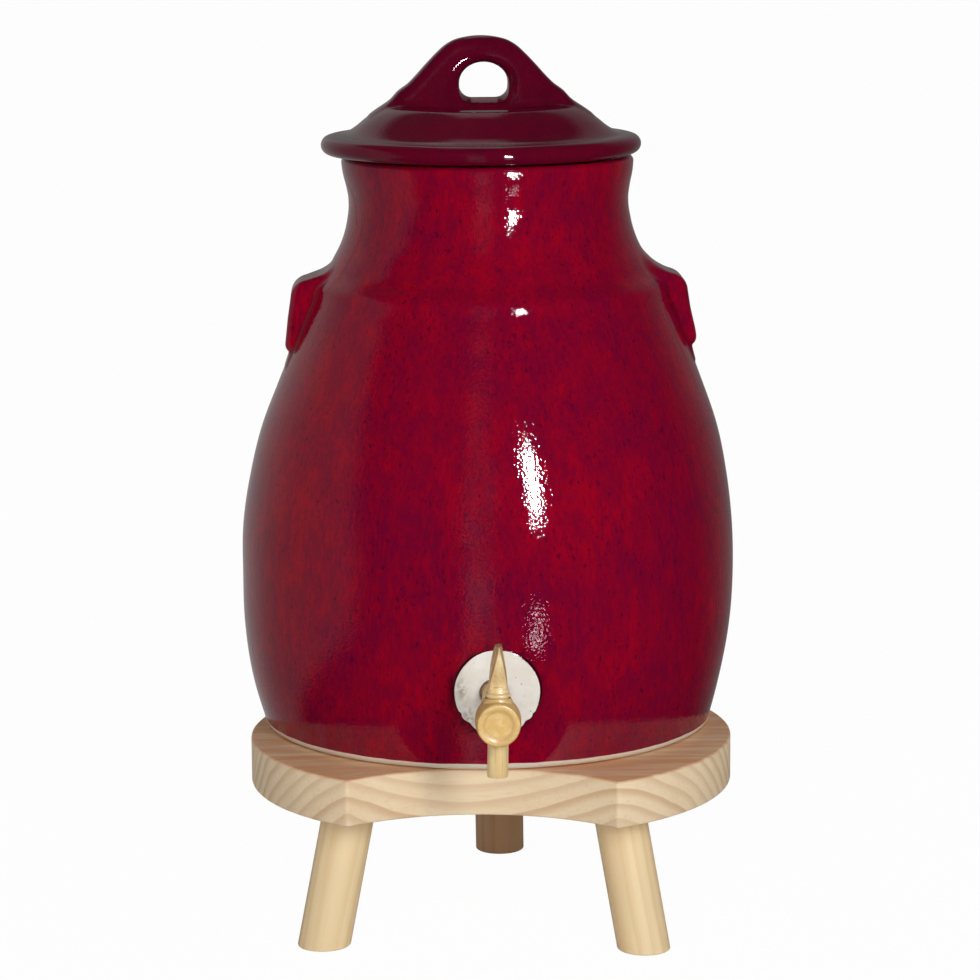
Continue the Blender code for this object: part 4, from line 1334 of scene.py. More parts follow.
@dataclass
class Lid:
    """The glazed lid: a dome with a fat rim, a locating skirt and an arched handle with a finger hole."""

    lathe: Lathe
    place: Point = (-0.00189, 0.02914, 0.3319)
    voxel: float = 0.0011
    crease: float = 0.0036
    handle_edge: float = 0.0048
    handle_top: float = 0.0516
    handle_root: float = 0.0167
    handle_reach: float = 0.047
    top_thickness: float = 0.0135
    root_thickness: float = 0.021
    hole_shift: float = 0.0012
    hole_width: float = 0.0213
    hole_bottom: float = 0.0249
    hole_height: float = 0.0154
    hole_corner: float = 0.0055
    sill_drop: float = 0.0034
    sill_edge: float = 0.0022
    dip: float = 0.0018
    handle_side: Section = field(default_factory=lambda: [
        (0.0, 0.0), (0.015, 0.13), (0.06, 0.255), (0.13, 0.34), (0.21, 0.405), (0.36, 0.512), (0.51, 0.612),
        (0.60, 0.68), (0.69, 0.77), (0.78, 0.83), (0.86, 0.885), (1.0, 1.0),
    ])

    def section(self) -> Section:
        """The lid's section without its handle, from the middle of its top round to the middle of its hollow.

        Returns:
            Points as (radius, height above the seat), which start and end on the axis.
        """
        top = [
            (0.0, 0.0194), (0.01512, 0.0202), (0.03024, 0.0214), (0.0385, 0.02145), (0.042, 0.0210),
            (0.04517, 0.01956), (0.04834, 0.01752), (0.05131, 0.01524), (0.05467, 0.01248), (0.05744, 0.01068),
            (0.05982, 0.00952), (0.0618, 0.0090), (0.0640, 0.00895), (0.06668, 0.00854),
        ]
        hollow = [
            (0.0461, -0.0070), (0.0461, 0.00268), (0.0440, 0.0070), (0.0387, 0.0108), (0.0304, 0.0132),
            (0.018, 0.0134), (0.0, 0.0134),
        ]
        made = smooth_line(top, 0.0012)
        made += arc((0.0660, 0.0047), 0.0039, 76, -84, 16)
        made += smooth_line([(0.0655, 0.00065), (0.0613, 0.0002), (0.0550, 0.0), (0.0520, -0.0001)], 0.002)
        made += arc((0.0520, -0.0010), 0.0009, 90, 180, 3)[1:]
        made += [(0.0511, -0.004), (0.0511, -0.0080)] + arc((0.0494, -0.0088), 0.0017, 0, -90, 5)
        made += arc((0.0478, -0.0088), 0.0017, -90, -180, 5)
        return made + smooth_line(hollow, 0.002)

    def handle_outline(self) -> Section:
        """The handle's outer edge, seen from the front.

        Returns:
            Points as (across, height above the seat) of a closed outline.
        """
        side = []
        for fall, out in self.handle_side:
            side.append((self.handle_reach * out, between(self.handle_top, self.handle_root, fall)))
        whole = [(-x, z) for x, z in reversed(side[1:])] + side
        return smooth_line(whole, 0.0012) + [(self.handle_reach, 0.0135), (-self.handle_reach, 0.0135)]

    def hole_outline(self) -> Section:
        """The finger hole: a flat sill with round corners under an arch.

        Returns:
            Points as (across, height above the seat) of a closed outline.
        """
        half, spring = self.hole_width / 2, self.hole_bottom + self.hole_height * 0.41
        rise = self.hole_bottom + self.hole_height - spring
        turns = [math.pi * i / 24 for i in range(25)]
        arch = [(half * math.cos(turn), spring + rise * math.sin(turn)) for turn in turns]
        corner = self.hole_corner
        sill = arc((corner - half, self.hole_bottom + corner), corner, 180, 270, 7)
        sill += arc((half - corner, self.hole_bottom + corner), corner, 270, 360, 7)
        return [(x + self.hole_shift, z) for x, z in arch + sill]

    def form_distance(self) -> Callable[[np.ndarray], np.ndarray]:
        """The distance to the whole lid with its handle, for points in the lid's own coordinates.

        The hole's sill slopes down to the handle's two faces, and the dome dips a little before them, where a
        thumb worked the handle into the dome.

        Returns:
            A function that takes points and gives their signed distances, negative inside the lid.
        """
        section, handle, hole = self.section(), self.handle_outline(), self.hole_outline()

        def distance(points: np.ndarray) -> np.ndarray:
            """Signed distance from points to the lid."""
            x, deep, z = points[:, 0], np.abs(points[:, 1]), points[:, 2]
            dip = self.dip * hump(x, 0.0, 0.013) * hump(deep, 0.011, 0.007) * smooth_step(0.014, 0.018, z)
            body = outline_distance(np.hypot(x, points[:, 1]), z + dip, section)
            low = 1 - smooth_step(0.026, 0.034, z)
            drop = self.sill_drop * (deep / 0.0095) ** 1.6 * low
            flat = np.maximum(outline_distance(x, z, handle), -outline_distance(x, z + drop, hole))
            share = np.clip((z - self.handle_root) / (self.handle_top - self.handle_root), 0.0, 1.0)
            half = (self.root_thickness + (self.top_thickness - self.root_thickness) * share) / 2
            in_hole = 1 - smooth_step(0.011, 0.014, np.abs(x - self.hole_shift))
            sill = (1 - smooth_step(0.027, 0.032, z)) * in_hole
            edge = self.handle_edge + (self.sill_edge - self.handle_edge) * sill
            plate = plate_distance(flat, deep - half, edge)
            above = smooth_step(0.014, 0.017, z)
            return smooth_join(body, plate + (1 - above) * 0.02, self.crease)

        return distance

    def build(self) -> bpy.types.Object:
        """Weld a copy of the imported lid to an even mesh, and settle it onto the lid's true form.

        Returns:
            The lid.
        """
        source = new_piece("lid_glazed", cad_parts["lid"].data.copy())
        source.data.transform(Matrix.Translation((-self.place[0], -self.place[1], -self.place[2])))
        face_outwards(source.data)
        remesh = source.modifiers.new("even", "REMESH")
        remesh.mode, remesh.voxel_size = "VOXEL", self.voxel
        make_plain(source)
        points = settle(mesh_points(source.data), self.form_distance(), 4)
        groove = np.hypot(points[:, 0], points[:, 1])
        # The groove round the dome is darkened a little.
        pooled_and_painted_shade = 0.25 * hump(groove, 0.0610, 0.0020) * (points[:, 2] > 0.006)
        set_mesh_points(source.data, points + np.array(self.place))
        store_mask(source.data, "pooled_and_painted_shade", pooled_and_painted_shade)
        source.data.materials.clear()
        source.data.materials.append(LID_GLAZE.material())
        shade(source.data)
        return hand_over(source, Body.LID, Slot.LID_GLAZE, "lid")


@dataclass
class Tap:
    """The cork bung, and the turned barrel with the key's cork lining and its seat."""

    lathe: Lathe
    axis_x: float = -0.0014
    face_y: float = -0.13814
    axis_z: float = 0.1163
    length: float = 0.082
    key_setback: float = 0.010
    barrel: float = 0.0094
    plug_low: float = 0.00425
    plug_high: float = 0.00475
    tool_pitch: float = 0.0011
    tool_depth: float = 0.00003
    cork_front: float = -0.08314
    cork_length: float = 0.024
    cork_wide: float = 0.00585
    cork_narrow: float = 0.00550
    cork_pits: int = 190
    bore: float = 0.0025
    seat_low: float = 0.0060

    def along(self, obj: bpy.types.Object) -> None:
        """Lay a form turned with its face at height nought along the tap's axis."""
        lay_forward(obj, (self.axis_x, self.face_y, self.axis_z))

    def key_place(self) -> Point:
        """Where the key's axis crosses the tap's."""
        return self.axis_x, self.face_y + self.key_setback, self.axis_z

    def plug_radius(self, height: float) -> float:
        """The key's plug radius at a height above the tap's axis."""
        return between(self.plug_low, self.plug_high, (height + self.barrel) / (2 * self.barrel))

    def build_cork(self) -> bpy.types.Object:
        """The cork bung, with pits worn into its sides.

        Returns:
            The bung.
        """
        wide, narrow, end = self.cork_wide, self.cork_narrow, -self.cork_length
        mouth, inner = (0.0052, 0.0), (0.00468, end)
        front = [mouth, (0.0054, 0.0), (0.0056, 0.0), (wide - 0.00010, -0.00010), (wide, -0.0005)]
        middle = (between(wide, narrow, 0.5), end / 2)
        side = smooth_line([(wide, -0.0005), middle, (narrow, end + 0.0005)], 0.0004)
        section = front + side[1:] + [(narrow - 0.0004, end), inner, mouth]
        cork = self.lathe.turn("tap_cork_bung", section, 128, CORK.material())
        points = mesh_points(cork.data)
        out = np.hypot(points[:, 0], points[:, 1])
        shell = smooth_step(0.0051, 0.0055, out) * smooth_step(-0.0120, -0.0050, points[:, 2])
        rng = np.random.default_rng(11)
        pit = np.zeros(len(points))
        for _ in range(self.cork_pits):
            turn, back = rng.uniform(0, 2 * math.pi), rng.uniform(-0.0035, 0.0)
            spot = np.array([wide * math.cos(turn), wide * math.sin(turn), back])
            size = rng.uniform(0.0003, 0.0009)
            pit = np.maximum(pit, np.exp(-(((points - spot) ** 2).sum(axis=1)) / size**2))
        dent = pit * 0.0005 * shell
        points[:, :2] *= (1 - dent / np.maximum(out, 0.001))[:, None]
        set_mesh_points(cork.data, points)
        store_mask(cork.data, "pit", pit * shell)
        lay_forward(cork, (self.axis_x, self.cork_front, self.axis_z))
        shade(cork.data, 60)
        return hand_over(cork, Body.CROCK, Slot.CORK, "tap_cork")

    def barrel_section(self) -> Section:
        """The barrel's outline from the middle of its face back to its inner end, without its bore.

        Returns:
            Points as (radius, height), with the front edge at height nought and the inner end below it.
        """
        face = [
            (0.0, -0.0009), (0.0012, -0.00095), (0.0028, -0.00102), (0.0044, -0.00100), (0.0056, -0.00080),
            (0.0064, -0.00045), (0.0070, -0.00014), (0.0075, -0.00002), (0.0080, -0.00002),
        ]
        side = [
            (0.0087, -0.0007), (0.00895, -0.0026), (0.00923, -0.0050), (0.00936, -0.0076), (0.0094, -0.0100),
            (0.00930, -0.0130), (0.00865, -0.0165), (0.00735, -0.0195), (0.00625, -0.0215), (0.0059, -0.0228),
            (0.00585, -0.0250),
        ]
        shank = [(0.00546, -0.0320), (0.00546, -0.0374), (0.00535, -0.0450), (0.0050, -0.0550), (0.0043, -0.0812)]
        made = smooth_line(face, 0.0002)
        made += arc((0.0080, -0.0007), 0.0007, 80, 0, 5)
        made += smooth_line(side, 0.0006)[1:]
        made += arc((0.0044, -0.0290), 0.0025, 66, -66, 12)
        made += smooth_line(shank, 0.0015)
        return made + [(0.0035, -self.length), (0.0, -self.length)]

    def build_barrel(self) -> bpy.types.Object:
        """Turn the barrel, leave the turning tool's rings on it, and bore it for the vinegar and the key.

        Returns:
            The barrel.
        """
        barrel = self.lathe.turn("tap_barrel", self.barrel_section(), 128, TAP_WOOD.material())
        points = mesh_points(barrel.data)
        out = np.hypot(points[:, 0], points[:, 1])
        rings = np.sin(points[:, 2] / self.tool_pitch * 2 * math.pi) * self.tool_depth
        rings = rings * (points[:, 2] < -0.0012) * (out > 0.005)
        points[:, :2] *= (1 - np.abs(rings) / np.maximum(out, 0.001))[:, None]
        set_mesh_points(barrel.data, points)
        front = points[:, 2] > -0.002
        wear_and_painted_shade = 0.42 * hump(out, 0.0059, 0.0008) * front
        wear_and_painted_shade += 0.45 * smooth_step(-0.0005, -0.0060, points[:, 1]) * smooth_step(0.0078, 0.0086, out) * front
        # Darker over the barrel's top, most at the left: painted shade.
        above = smooth_step(0.0020, 0.0085, points[:, 1]) * (points[:, 2] < -0.0015)
        wear_and_painted_shade += above * (0.45 - 0.25 * np.clip(points[:, 0] / self.barrel, -1, 1))
        self.along(barrel)
        store_mask(barrel.data, "wear_and_painted_shade", np.clip(wear_and_painted_shade, 0, 1))
        top = self.barrel + 0.003
        wide, narrow = self.plug_radius(top) + 0.0018, self.plug_radius(-top) + 0.0018
        socket = self.lathe.turn("socket", [(0, top), (wide, top), (narrow, -top), (0, -top)], 96)
        socket.data.transform(Matrix.Translation(self.key_place()))
        start, end = -self.key_setback, -self.length - 0.003
        back = self.lathe.turn("bore", [(0, start), (self.bore, start), (self.bore, end), (0, end)], 48)
        self.along(back)
        carve(barrel, [socket, back])
        shade(barrel.data, 38)
        return hand_over(barrel, Body.TAP, Slot.TURNED_WOOD, "tap_body")

    def build_sleeve(self) -> bpy.types.Object:
        """The cork lining of the key's socket, trimmed to the barrel's round below and cut off under the seat above.

        Returns:
            The lining.
        """
        low, top = -self.barrel - 0.003, self.seat_low - 0.0002
        section = [(self.plug_radius(h) + 0.0003, h) for h in np.linspace(low, top, 30)]
        section += [(self.plug_radius(h) + 0.0015, h) for h in np.linspace(top, low, 30)] + [section[0]]
        plain = [(float(r), float(h)) for r, h in section]
        sleeve = self.lathe.turn("key_socket_cork", plain, 96, CORK.material())
        sleeve.data.transform(Matrix.Translation(self.key_place()))
        trim_radius, reach = self.barrel - 0.0003, 0.012
        outline = [(0, reach), (trim_radius, reach), (trim_radius, -reach), (0, -reach)]
        trim = self.lathe.turn("trim", outline, 128)
        lay_forward(trim, self.key_place())
        carve(sleeve, [trim], "INTERSECT")
        shade(sleeve.data, 40)
        return hand_over(sleeve, Body.TAP, Slot.CORK, "key_cork_sleeve")

    def build_seat(self) -> bpy.types.Object:
        """The small wooden ring in the socket's upper mouth that the key's collar turns on.

        Returns:
            The ring.
        """
        inner, outer, low, high = 0.00505, 0.0063, self.seat_low, 0.00962
        section = [
            (inner, low), (outer, low), (outer, 0.0072), (outer - 0.0004, 0.0081), (outer - 0.0009, 0.0091),
            (outer - 0.0011, high), (inner + 0.0001, high), (inner, high - 0.0001), (inner, low),
        ]
        seat = self.lathe.turn("key_seat_ring", section, 96, TAP_WOOD.material())
        store_mask(seat.data, "wear_and_painted_shade", np.full(len(seat.data.vertices), 0.35))
        seat.data.transform(Matrix.Translation(self.key_place()))
        shade(seat.data, 40)
        return hand_over(seat, Body.TAP, Slot.TURNED_WOOD)

    def build(self) -> None:
        """Make the bung, the barrel, the lining and the key's seat."""
        self.build_cork()
        self.build_barrel()
        self.build_sleeve()
        self.build_seat()


@dataclass
class Key:
    """The key of the tap: blade, collar, tapered plug and spout in one turned piece."""

    lathe: Lathe
    place: Point = (-0.0014, -0.12814, 0.1163)
    barrel: float = 0.0094
    collar_low: float = 0.0097
    throat_top: float = 0.0148
    blade_root: float = 0.01352
    blade_height: float = 0.0176
    blade_width: float = 0.0165
    spout_drop: float = 0.0233
    spout_bore: float = 0.0022
    lean: float = 0.0245
    straight: float = 0.0105
    edge_turn: float = 0.00014
    shares: Knots = (
        (0.0, 0.36), (0.12, 0.40), (0.28, 0.62), (0.46, 0.87), (0.64, 1.0), (0.80, 0.95), (0.92, 0.72), (1.0, 0.36),
    )
    thickness: Knots = (
        (0.0, 0.0074), (0.08, 0.0074), (0.19, 0.0071), (0.415, 0.0062), (0.636, 0.00490), (0.864, 0.00322),
        (1.0, 0.0023),
    )
    chamfers: Knots = (
        (0.0, 0.00030), (0.25, 0.00050), (0.55, 0.00090), (0.83, 0.00100), (0.93, 0.00112), (1.0, 0.00100),
    )

    def stem_section(self) -> Section:
        """The turned part's outline, from the top of its throat down to the spout's mouth and up its bore.

        Returns:
            Points as (radius, height above the tap's axis), which start and end on the key's axis.
        """
        bore, end = self.spout_bore, -self.spout_drop
        made = [(0.0, self.throat_top), (0.0032, self.throat_top), (0.0036, self.throat_top - 0.0003)]
        made += smooth_line([(0.0037, 0.0142), (0.0039, 0.0134), (0.0043, 0.0126), (0.0046, 0.0119)], 0.0002)
        made += arc((0.00425, 0.01065), 0.00095, 72, -78, 12)
        made += smooth_line([(0.00447, self.collar_low - 0.0001), (0.00450, 0.0), (0.00425, -self.barrel)], 0.001)
        made += [(0.00425, -0.0150), (0.00430, -0.0205), (0.00430, -0.0229), (0.0041, -0.02322), (0.0038, end)]
        return made + [(bore, end), (bore, -0.010), (bore, 0.0), (0.0, 0.0)]

    def blade_mesh(self) -> bpy.types.Mesh:
        """The blade: chamfered sections stacked up, thinner and then narrower towards the top.

        Returns:
            The blade's mesh, whose mask worn darkens the chamfers and the top.
        """
        rows = np.concatenate([np.linspace(0.0, 0.9, 31), np.linspace(0.92, 1.0, 11)])
        widths = value_along(self.shares, rows) * self.blade_width / 2
        depths = value_along(self.thickness, rows) / 2
        cuts = value_along(self.chamfers, rows)
        soft = self.edge_turn
        chamfer_strip = [0.0, 0.0, 1.0, 1.0, 0.0, 0.0]
        count = 4 * len(chamfer_strip)
        points, strips = [], []
        for share, half, thick, wanted in zip(rows, widths, depths, cuts):
            cut = min(wanted, thick - soft * 1.2)
            corner = [
                (thick, half - cut - soft), (thick, half - cut), (thick - soft, half - cut + soft),
                (thick - cut + soft, half - soft), (thick - cut, half), (max(thick - cut - soft, 0.00001), half),
            ]
            ring = corner + [(-x, y) for x, y in reversed(corner)]
            ring += [(-x, -y) for x, y in corner] + [(x, -y) for x, y in reversed(corner)]
            z = self.blade_root + float(share) * self.blade_height
            points += [(x, y, z) for x, y in ring]
            strips += chamfer_strip * 4
        faces = ring_faces(len(rows), count)
        faces.append(tuple(range(count)))
        last = (len(rows) - 1) * count
        top = len(points)
        points.append((0.0, 0.0, self.blade_root + self.blade_height))
        faces += [(last + j, last + (j + 1) % count, top) for j in range(count)]
        mesh = bpy.data.meshes.new("tap_key_blade")
        mesh.from_pydata(points, [], faces)
        tip = smooth_step(0.970, 0.995, (np.array(points)[:, 2] - self.blade_root) / self.blade_height)
        store_mask(mesh, "wear_and_painted_shade", np.maximum(0.80 * np.array(strips + [0.0]), 0.85 * tip))
        return mesh

    def tilt(self, mesh: bpy.types.Mesh) -> None:
        """Lean the blade and the spout a little, leaving what turns in the tap straight.

        Args:
            mesh: A mesh of the key with its middle at the origin, changed in place.
        """
        points = mesh_points(mesh)
        past = np.maximum(points[:, 2] - self.straight, 0.0) + np.minimum(points[:, 2] + self.straight, 0.0)
        points[:, 0] += self.lean * past
        set_mesh_points(mesh, points)

    def build(self) -> None:
        """Turn the stem with its bores, and set the blade on it."""
        wood = KEY_WOOD.material()
        stem = self.lathe.turn("tap_key_stem", self.stem_section(), 96, wood)
        bore, reach = self.spout_bore, 0.008
        port = self.lathe.turn("port", [(0, reach), (bore, reach), (bore, 0.0), (0, 0.0)], 48)
        port.data.transform(Matrix.Rotation(math.radians(90), 4, "Y"))
        carve(stem, [port])
        height = mesh_points(stem.data)[:, 2]
        lines = 0.7 * hump(height, self.throat_top - 0.0003, 0.00030) + 0.5 * hump(height, 0.0118, 0.00025)
        store_mask(stem.data, "wear_and_painted_shade", lines)
        self.tilt(stem.data)
        stem.data.transform(Matrix.Translation(self.place))
        shade(stem.data, 42)
        hand_over(stem, Body.KEY, Slot.TURNED_WOOD, "tap_key")
        blade = new_piece("tap_key_blade", self.blade_mesh())
        face_outwards(blade.data)
        self.tilt(blade.data)
        blade.data.materials.append(wood)
        blade.data.transform(Matrix.Translation(self.place))
        shade(blade.data, 24)
        hand_over(blade, Body.KEY, Slot.TURNED_WOOD)


@dataclass
class Stand:
    """The round pine board with its scoop, on three splayed dowels."""

    lathe: Lathe
    centre_y: float = 0.00214
    turn: float = math.radians(-4.3)
    radius: float = 0.1056
    thickness: float = 0.0203
    edge: float = 0.0011
    round_steps: int = 230
    scoop_radius: float = 0.087
    scoop_depth: float = 0.0375
    scoop_steps: int = 90
    top: float = 0.080
    leg_radius: float = 0.0112
    leg_root: float = 0.0775
    splay: float = math.radians(14)
    leg_edge: float = 0.0008
    leg_angles: dict[str, float] = field(
        default_factory=lambda: {"leg_front_left": -49.0, "leg_front_right": 47.0, "leg_back": 180.0}
    )

    def board_outline(self) -> Section:
        """The board's outline from above: a circle with an arc cut out of its front.

        Returns:
            Points as (x, y) of a closed outline.
        """
        scoop_y = self.scoop_depth - self.radius - self.scoop_radius
        offset = abs(scoop_y)
        y = -(self.radius**2 - self.scoop_radius**2 + offset**2) / (2 * offset)
        x = math.sqrt(self.radius**2 - y**2)
        start, sweep = math.atan2(y, x), 2 * math.pi - 2 * math.atan2(x, -y)
        turns = [start + sweep * i / self.round_steps for i in range(self.round_steps + 1)]
        made = [(self.radius * math.cos(turn), self.radius * math.sin(turn)) for turn in turns]
        left = math.atan2(y - scoop_y, -x)
        right = math.atan2(y - scoop_y, x)
        for i in range(1, self.scoop_steps):
            at = between(left, right, i / self.scoop_steps)
            made.append((self.scoop_radius * math.cos(at), scoop_y + self.scoop_radius * math.sin(at)))
        return made

    def build_board(self) -> bpy.types.Object:
        """Cut the board and ease its edges.

        Returns:
            The board.
        """
        outline = self.board_outline()
        bm = bmesh.new()
        ring = [bm.verts.new((x, y, self.top - self.thickness)) for x, y in outline]
        bottom = bm.faces.new(ring)
        lifted = bmesh.ops.extrude_face_region(bm, geom=[bottom])
        up = [item for item in lifted["geom"] if isinstance(item, bmesh.types.BMVert)]
        bmesh.ops.translate(bm, verts=up, vec=(0, 0, self.thickness))
        bmesh.ops.recalc_face_normals(bm, faces=bm.faces)
        mesh = bpy.data.meshes.new("stand_round_board")
        bm.to_mesh(mesh)
        bm.free()
        board = new_piece("stand_round_board", mesh)
        bevel = board.modifiers.new("eased", "BEVEL")
        bevel.width, bevel.segments, bevel.harden_normals = self.edge, 3, False
        bevel.limit_method, bevel.angle_limit = "ANGLE", math.radians(30)
        make_plain(board)
        mesh = board.data
        mesh.transform(Matrix.Translation((0.0, self.centre_y, 0.0)) @ Matrix.Rotation(self.turn, 4, "Z"))
        mesh.materials.append(BOARD_WOOD.material())
        heights = mesh_points(mesh)[:, 2]
        # The top face is painted darker and redder: painted shade under the crock and painted red light from it.
        store_mask(mesh, "painted_top_shade", smooth_step(self.top - self.edge, self.top - self.edge * 0.1, heights))
        shade(mesh, 30)
        return hand_over(board, Body.STAND, Slot.PINE, "stand_board")

    def leg_matrix(self, angle: float) -> Matrix:
        """Frame of a leg: its origin where its axis leaves the board, its Z up along the leg.

        Args:
            angle: Which way the leg leans outwards, in radians from the front.

        Returns:
            The matrix that puts an upright leg in its place.
        """
        lean = Vector((math.sin(angle), -math.cos(angle), 0.0))
        up = (Vector((0, 0, 1)) * math.cos(self.splay) - lean * math.sin(self.splay)).normalized()
        side = up.cross(lean).normalized()
        front = side.cross(up)
        place = lean * self.leg_root + Vector((0, 0, self.top - self.thickness))
        turn = Matrix((front, side, up)).transposed().to_4x4()
        stand = Matrix.Translation((0.0, self.centre_y, 0.0)) @ Matrix.Rotation(self.turn, 4, "Z")
        return stand @ Matrix.Translation(place) @ turn

    def build_leg(self, name: str, angle: float, wood: bpy.types.Material) -> bpy.types.Object:
        """Turn a dowel, set it into the board and cut it level with the floor.

        Args:
            name: The leg's node in the frame.
            angle: Which way it leans outwards, in degrees from the front.
            wood: Its finish.

        Returns:
            The leg.
        """
        drop = (self.top - self.thickness) / math.cos(self.splay)
        soft, side = self.leg_edge, self.leg_radius
        section = [(0.0, 0.010), (side, 0.010)]
        section += [(side, h) for h in np.linspace(0.004, 0.010 - drop - 0.004, 14)]
        section += [(side, soft - drop)] + arc((side - soft, soft - drop), soft, 0, -90, 4)[1:]
        section += [(side * 0.6, -drop), (0.0, -drop)]
        leg = self.lathe.turn(f"{name}_dowel", [(float(r), float(h)) for r, h in section], 72, wood)
        points = mesh_points(leg.data)
        grain = leg.data.attributes.new("grain", "FLOAT_VECTOR", "POINT")
        grain.data.foreach_set("vector", np.ascontiguousarray(points, dtype=np.float32).ravel())
        low = 1 - smooth_step(0.003 - drop, 0.014 - drop, points[:, 2])
        points[:, 2] -= points[:, 0] * math.tan(self.splay) * low
        set_mesh_points(leg.data, points)
        leg.data.transform(self.leg_matrix(math.radians(angle)))
        placed = mesh_points(leg.data)
        placed[:, 2] = np.maximum(placed[:, 2], 0.0)
        set_mesh_points(leg.data, placed)
        shade(leg.data, 40)
        return hand_over(leg, Body.STAND, Slot.PINE, name)

    def build(self) -> None:
        """Make the board and the three legs."""
        self.build_board()
        for name, angle in self.leg_angles.items():
            # The back leg takes the darker pine: painted shade.
            finish = SHADED_BACK_LEG_WOOD if name == "leg_back" else LEG_WOOD
            self.build_leg(name, angle, finish.material())


@dataclass(frozen=True)
class Lamp:
    """An oval soft box that faces a point.

    Its radiance is how bright its face looks, where 1 is white, and its height runs along tall as nearly as its
    face allows.
    """

    name: str
    place: Point
    aim: Point
    size: tuple[float, float]
    radiance: float
    glow: Glow
    tall: Point = (0.0, 0.0, 1.0)
    colour: Colour = (1.0, 1.0, 1.0)

    def hang(self) -> None:
        """Add the lamp to the scene."""
        data = bpy.data.lights.new(self.name, "AREA")
        data.shape, data.size, data.size_y = "ELLIPSE", self.size[0], self.size[1]
        data.energy = self.radiance * math.pi * self.size[0] * self.size[1] * math.pi / 4
        data.color = self.colour
        lamp = bpy.data.objects.new(self.name, data)
        back = (Vector(self.place) - Vector(self.aim)).normalized()
        side = Vector(self.tall).cross(back).normalized()
        turn = Matrix((side, back.cross(side), back)).transposed().to_4x4()
        lamp.matrix_world = Matrix.Translation(self.place) @ turn
        lamp.visible_camera = False
        lamp.visible_glossy = self.glow is Glow.MIRRORED
        lamp.visible_diffuse = self.glow is Glow.LIT
        bpy.context.scene.collection.objects.link(lamp)


LAMPS = (
    Lamp("key_box", place=(0.535, -1.625, 0.839), aim=(0.0, -0.06, 0.22), size=(0.31, 0.85), radiance=20.0,
         glow=Glow.LIT, tall=(-0.234, 0.216, 0.734)),
    Lamp("key_shine", place=(0.1048, -0.3335, 0.2990), aim=(0.0135, -0.071, 0.209), size=(0.014, 0.146),
         radiance=220.0, glow=Glow.MIRRORED, tall=(-0.26, 0.266, 0.928)),
    Lamp("key_shine_low", place=(0.1125, -0.3414, 0.2710), aim=(0.0135, -0.071, 0.209), size=(0.019, 0.072),
         radiance=120.0, glow=Glow.MIRRORED, tall=(-0.26, 0.266, 0.928)),
    Lamp("low_glint", place=(0.172, -0.49, 0.012), aim=(0.016, -0.078, 0.142), size=(0.036, 0.056),
         radiance=16.0, glow=Glow.MIRRORED, colour=(1.0, 0.80, 0.90)),
    Lamp("top_box", place=(0.0, 0.1, 1.9), aim=(0.0, 0.0, 0.2), size=(1.4, 1.4), radiance=0.12,
         glow=Glow.LIT, tall=(0.0, 1.0, 0.0)),
    Lamp("front_fill", place=(-0.5, -2.6, 0.8), aim=(0.0, 0.0, 0.2), size=(1.8, 1.4), radiance=2.1,
         glow=Glow.LIT),
)


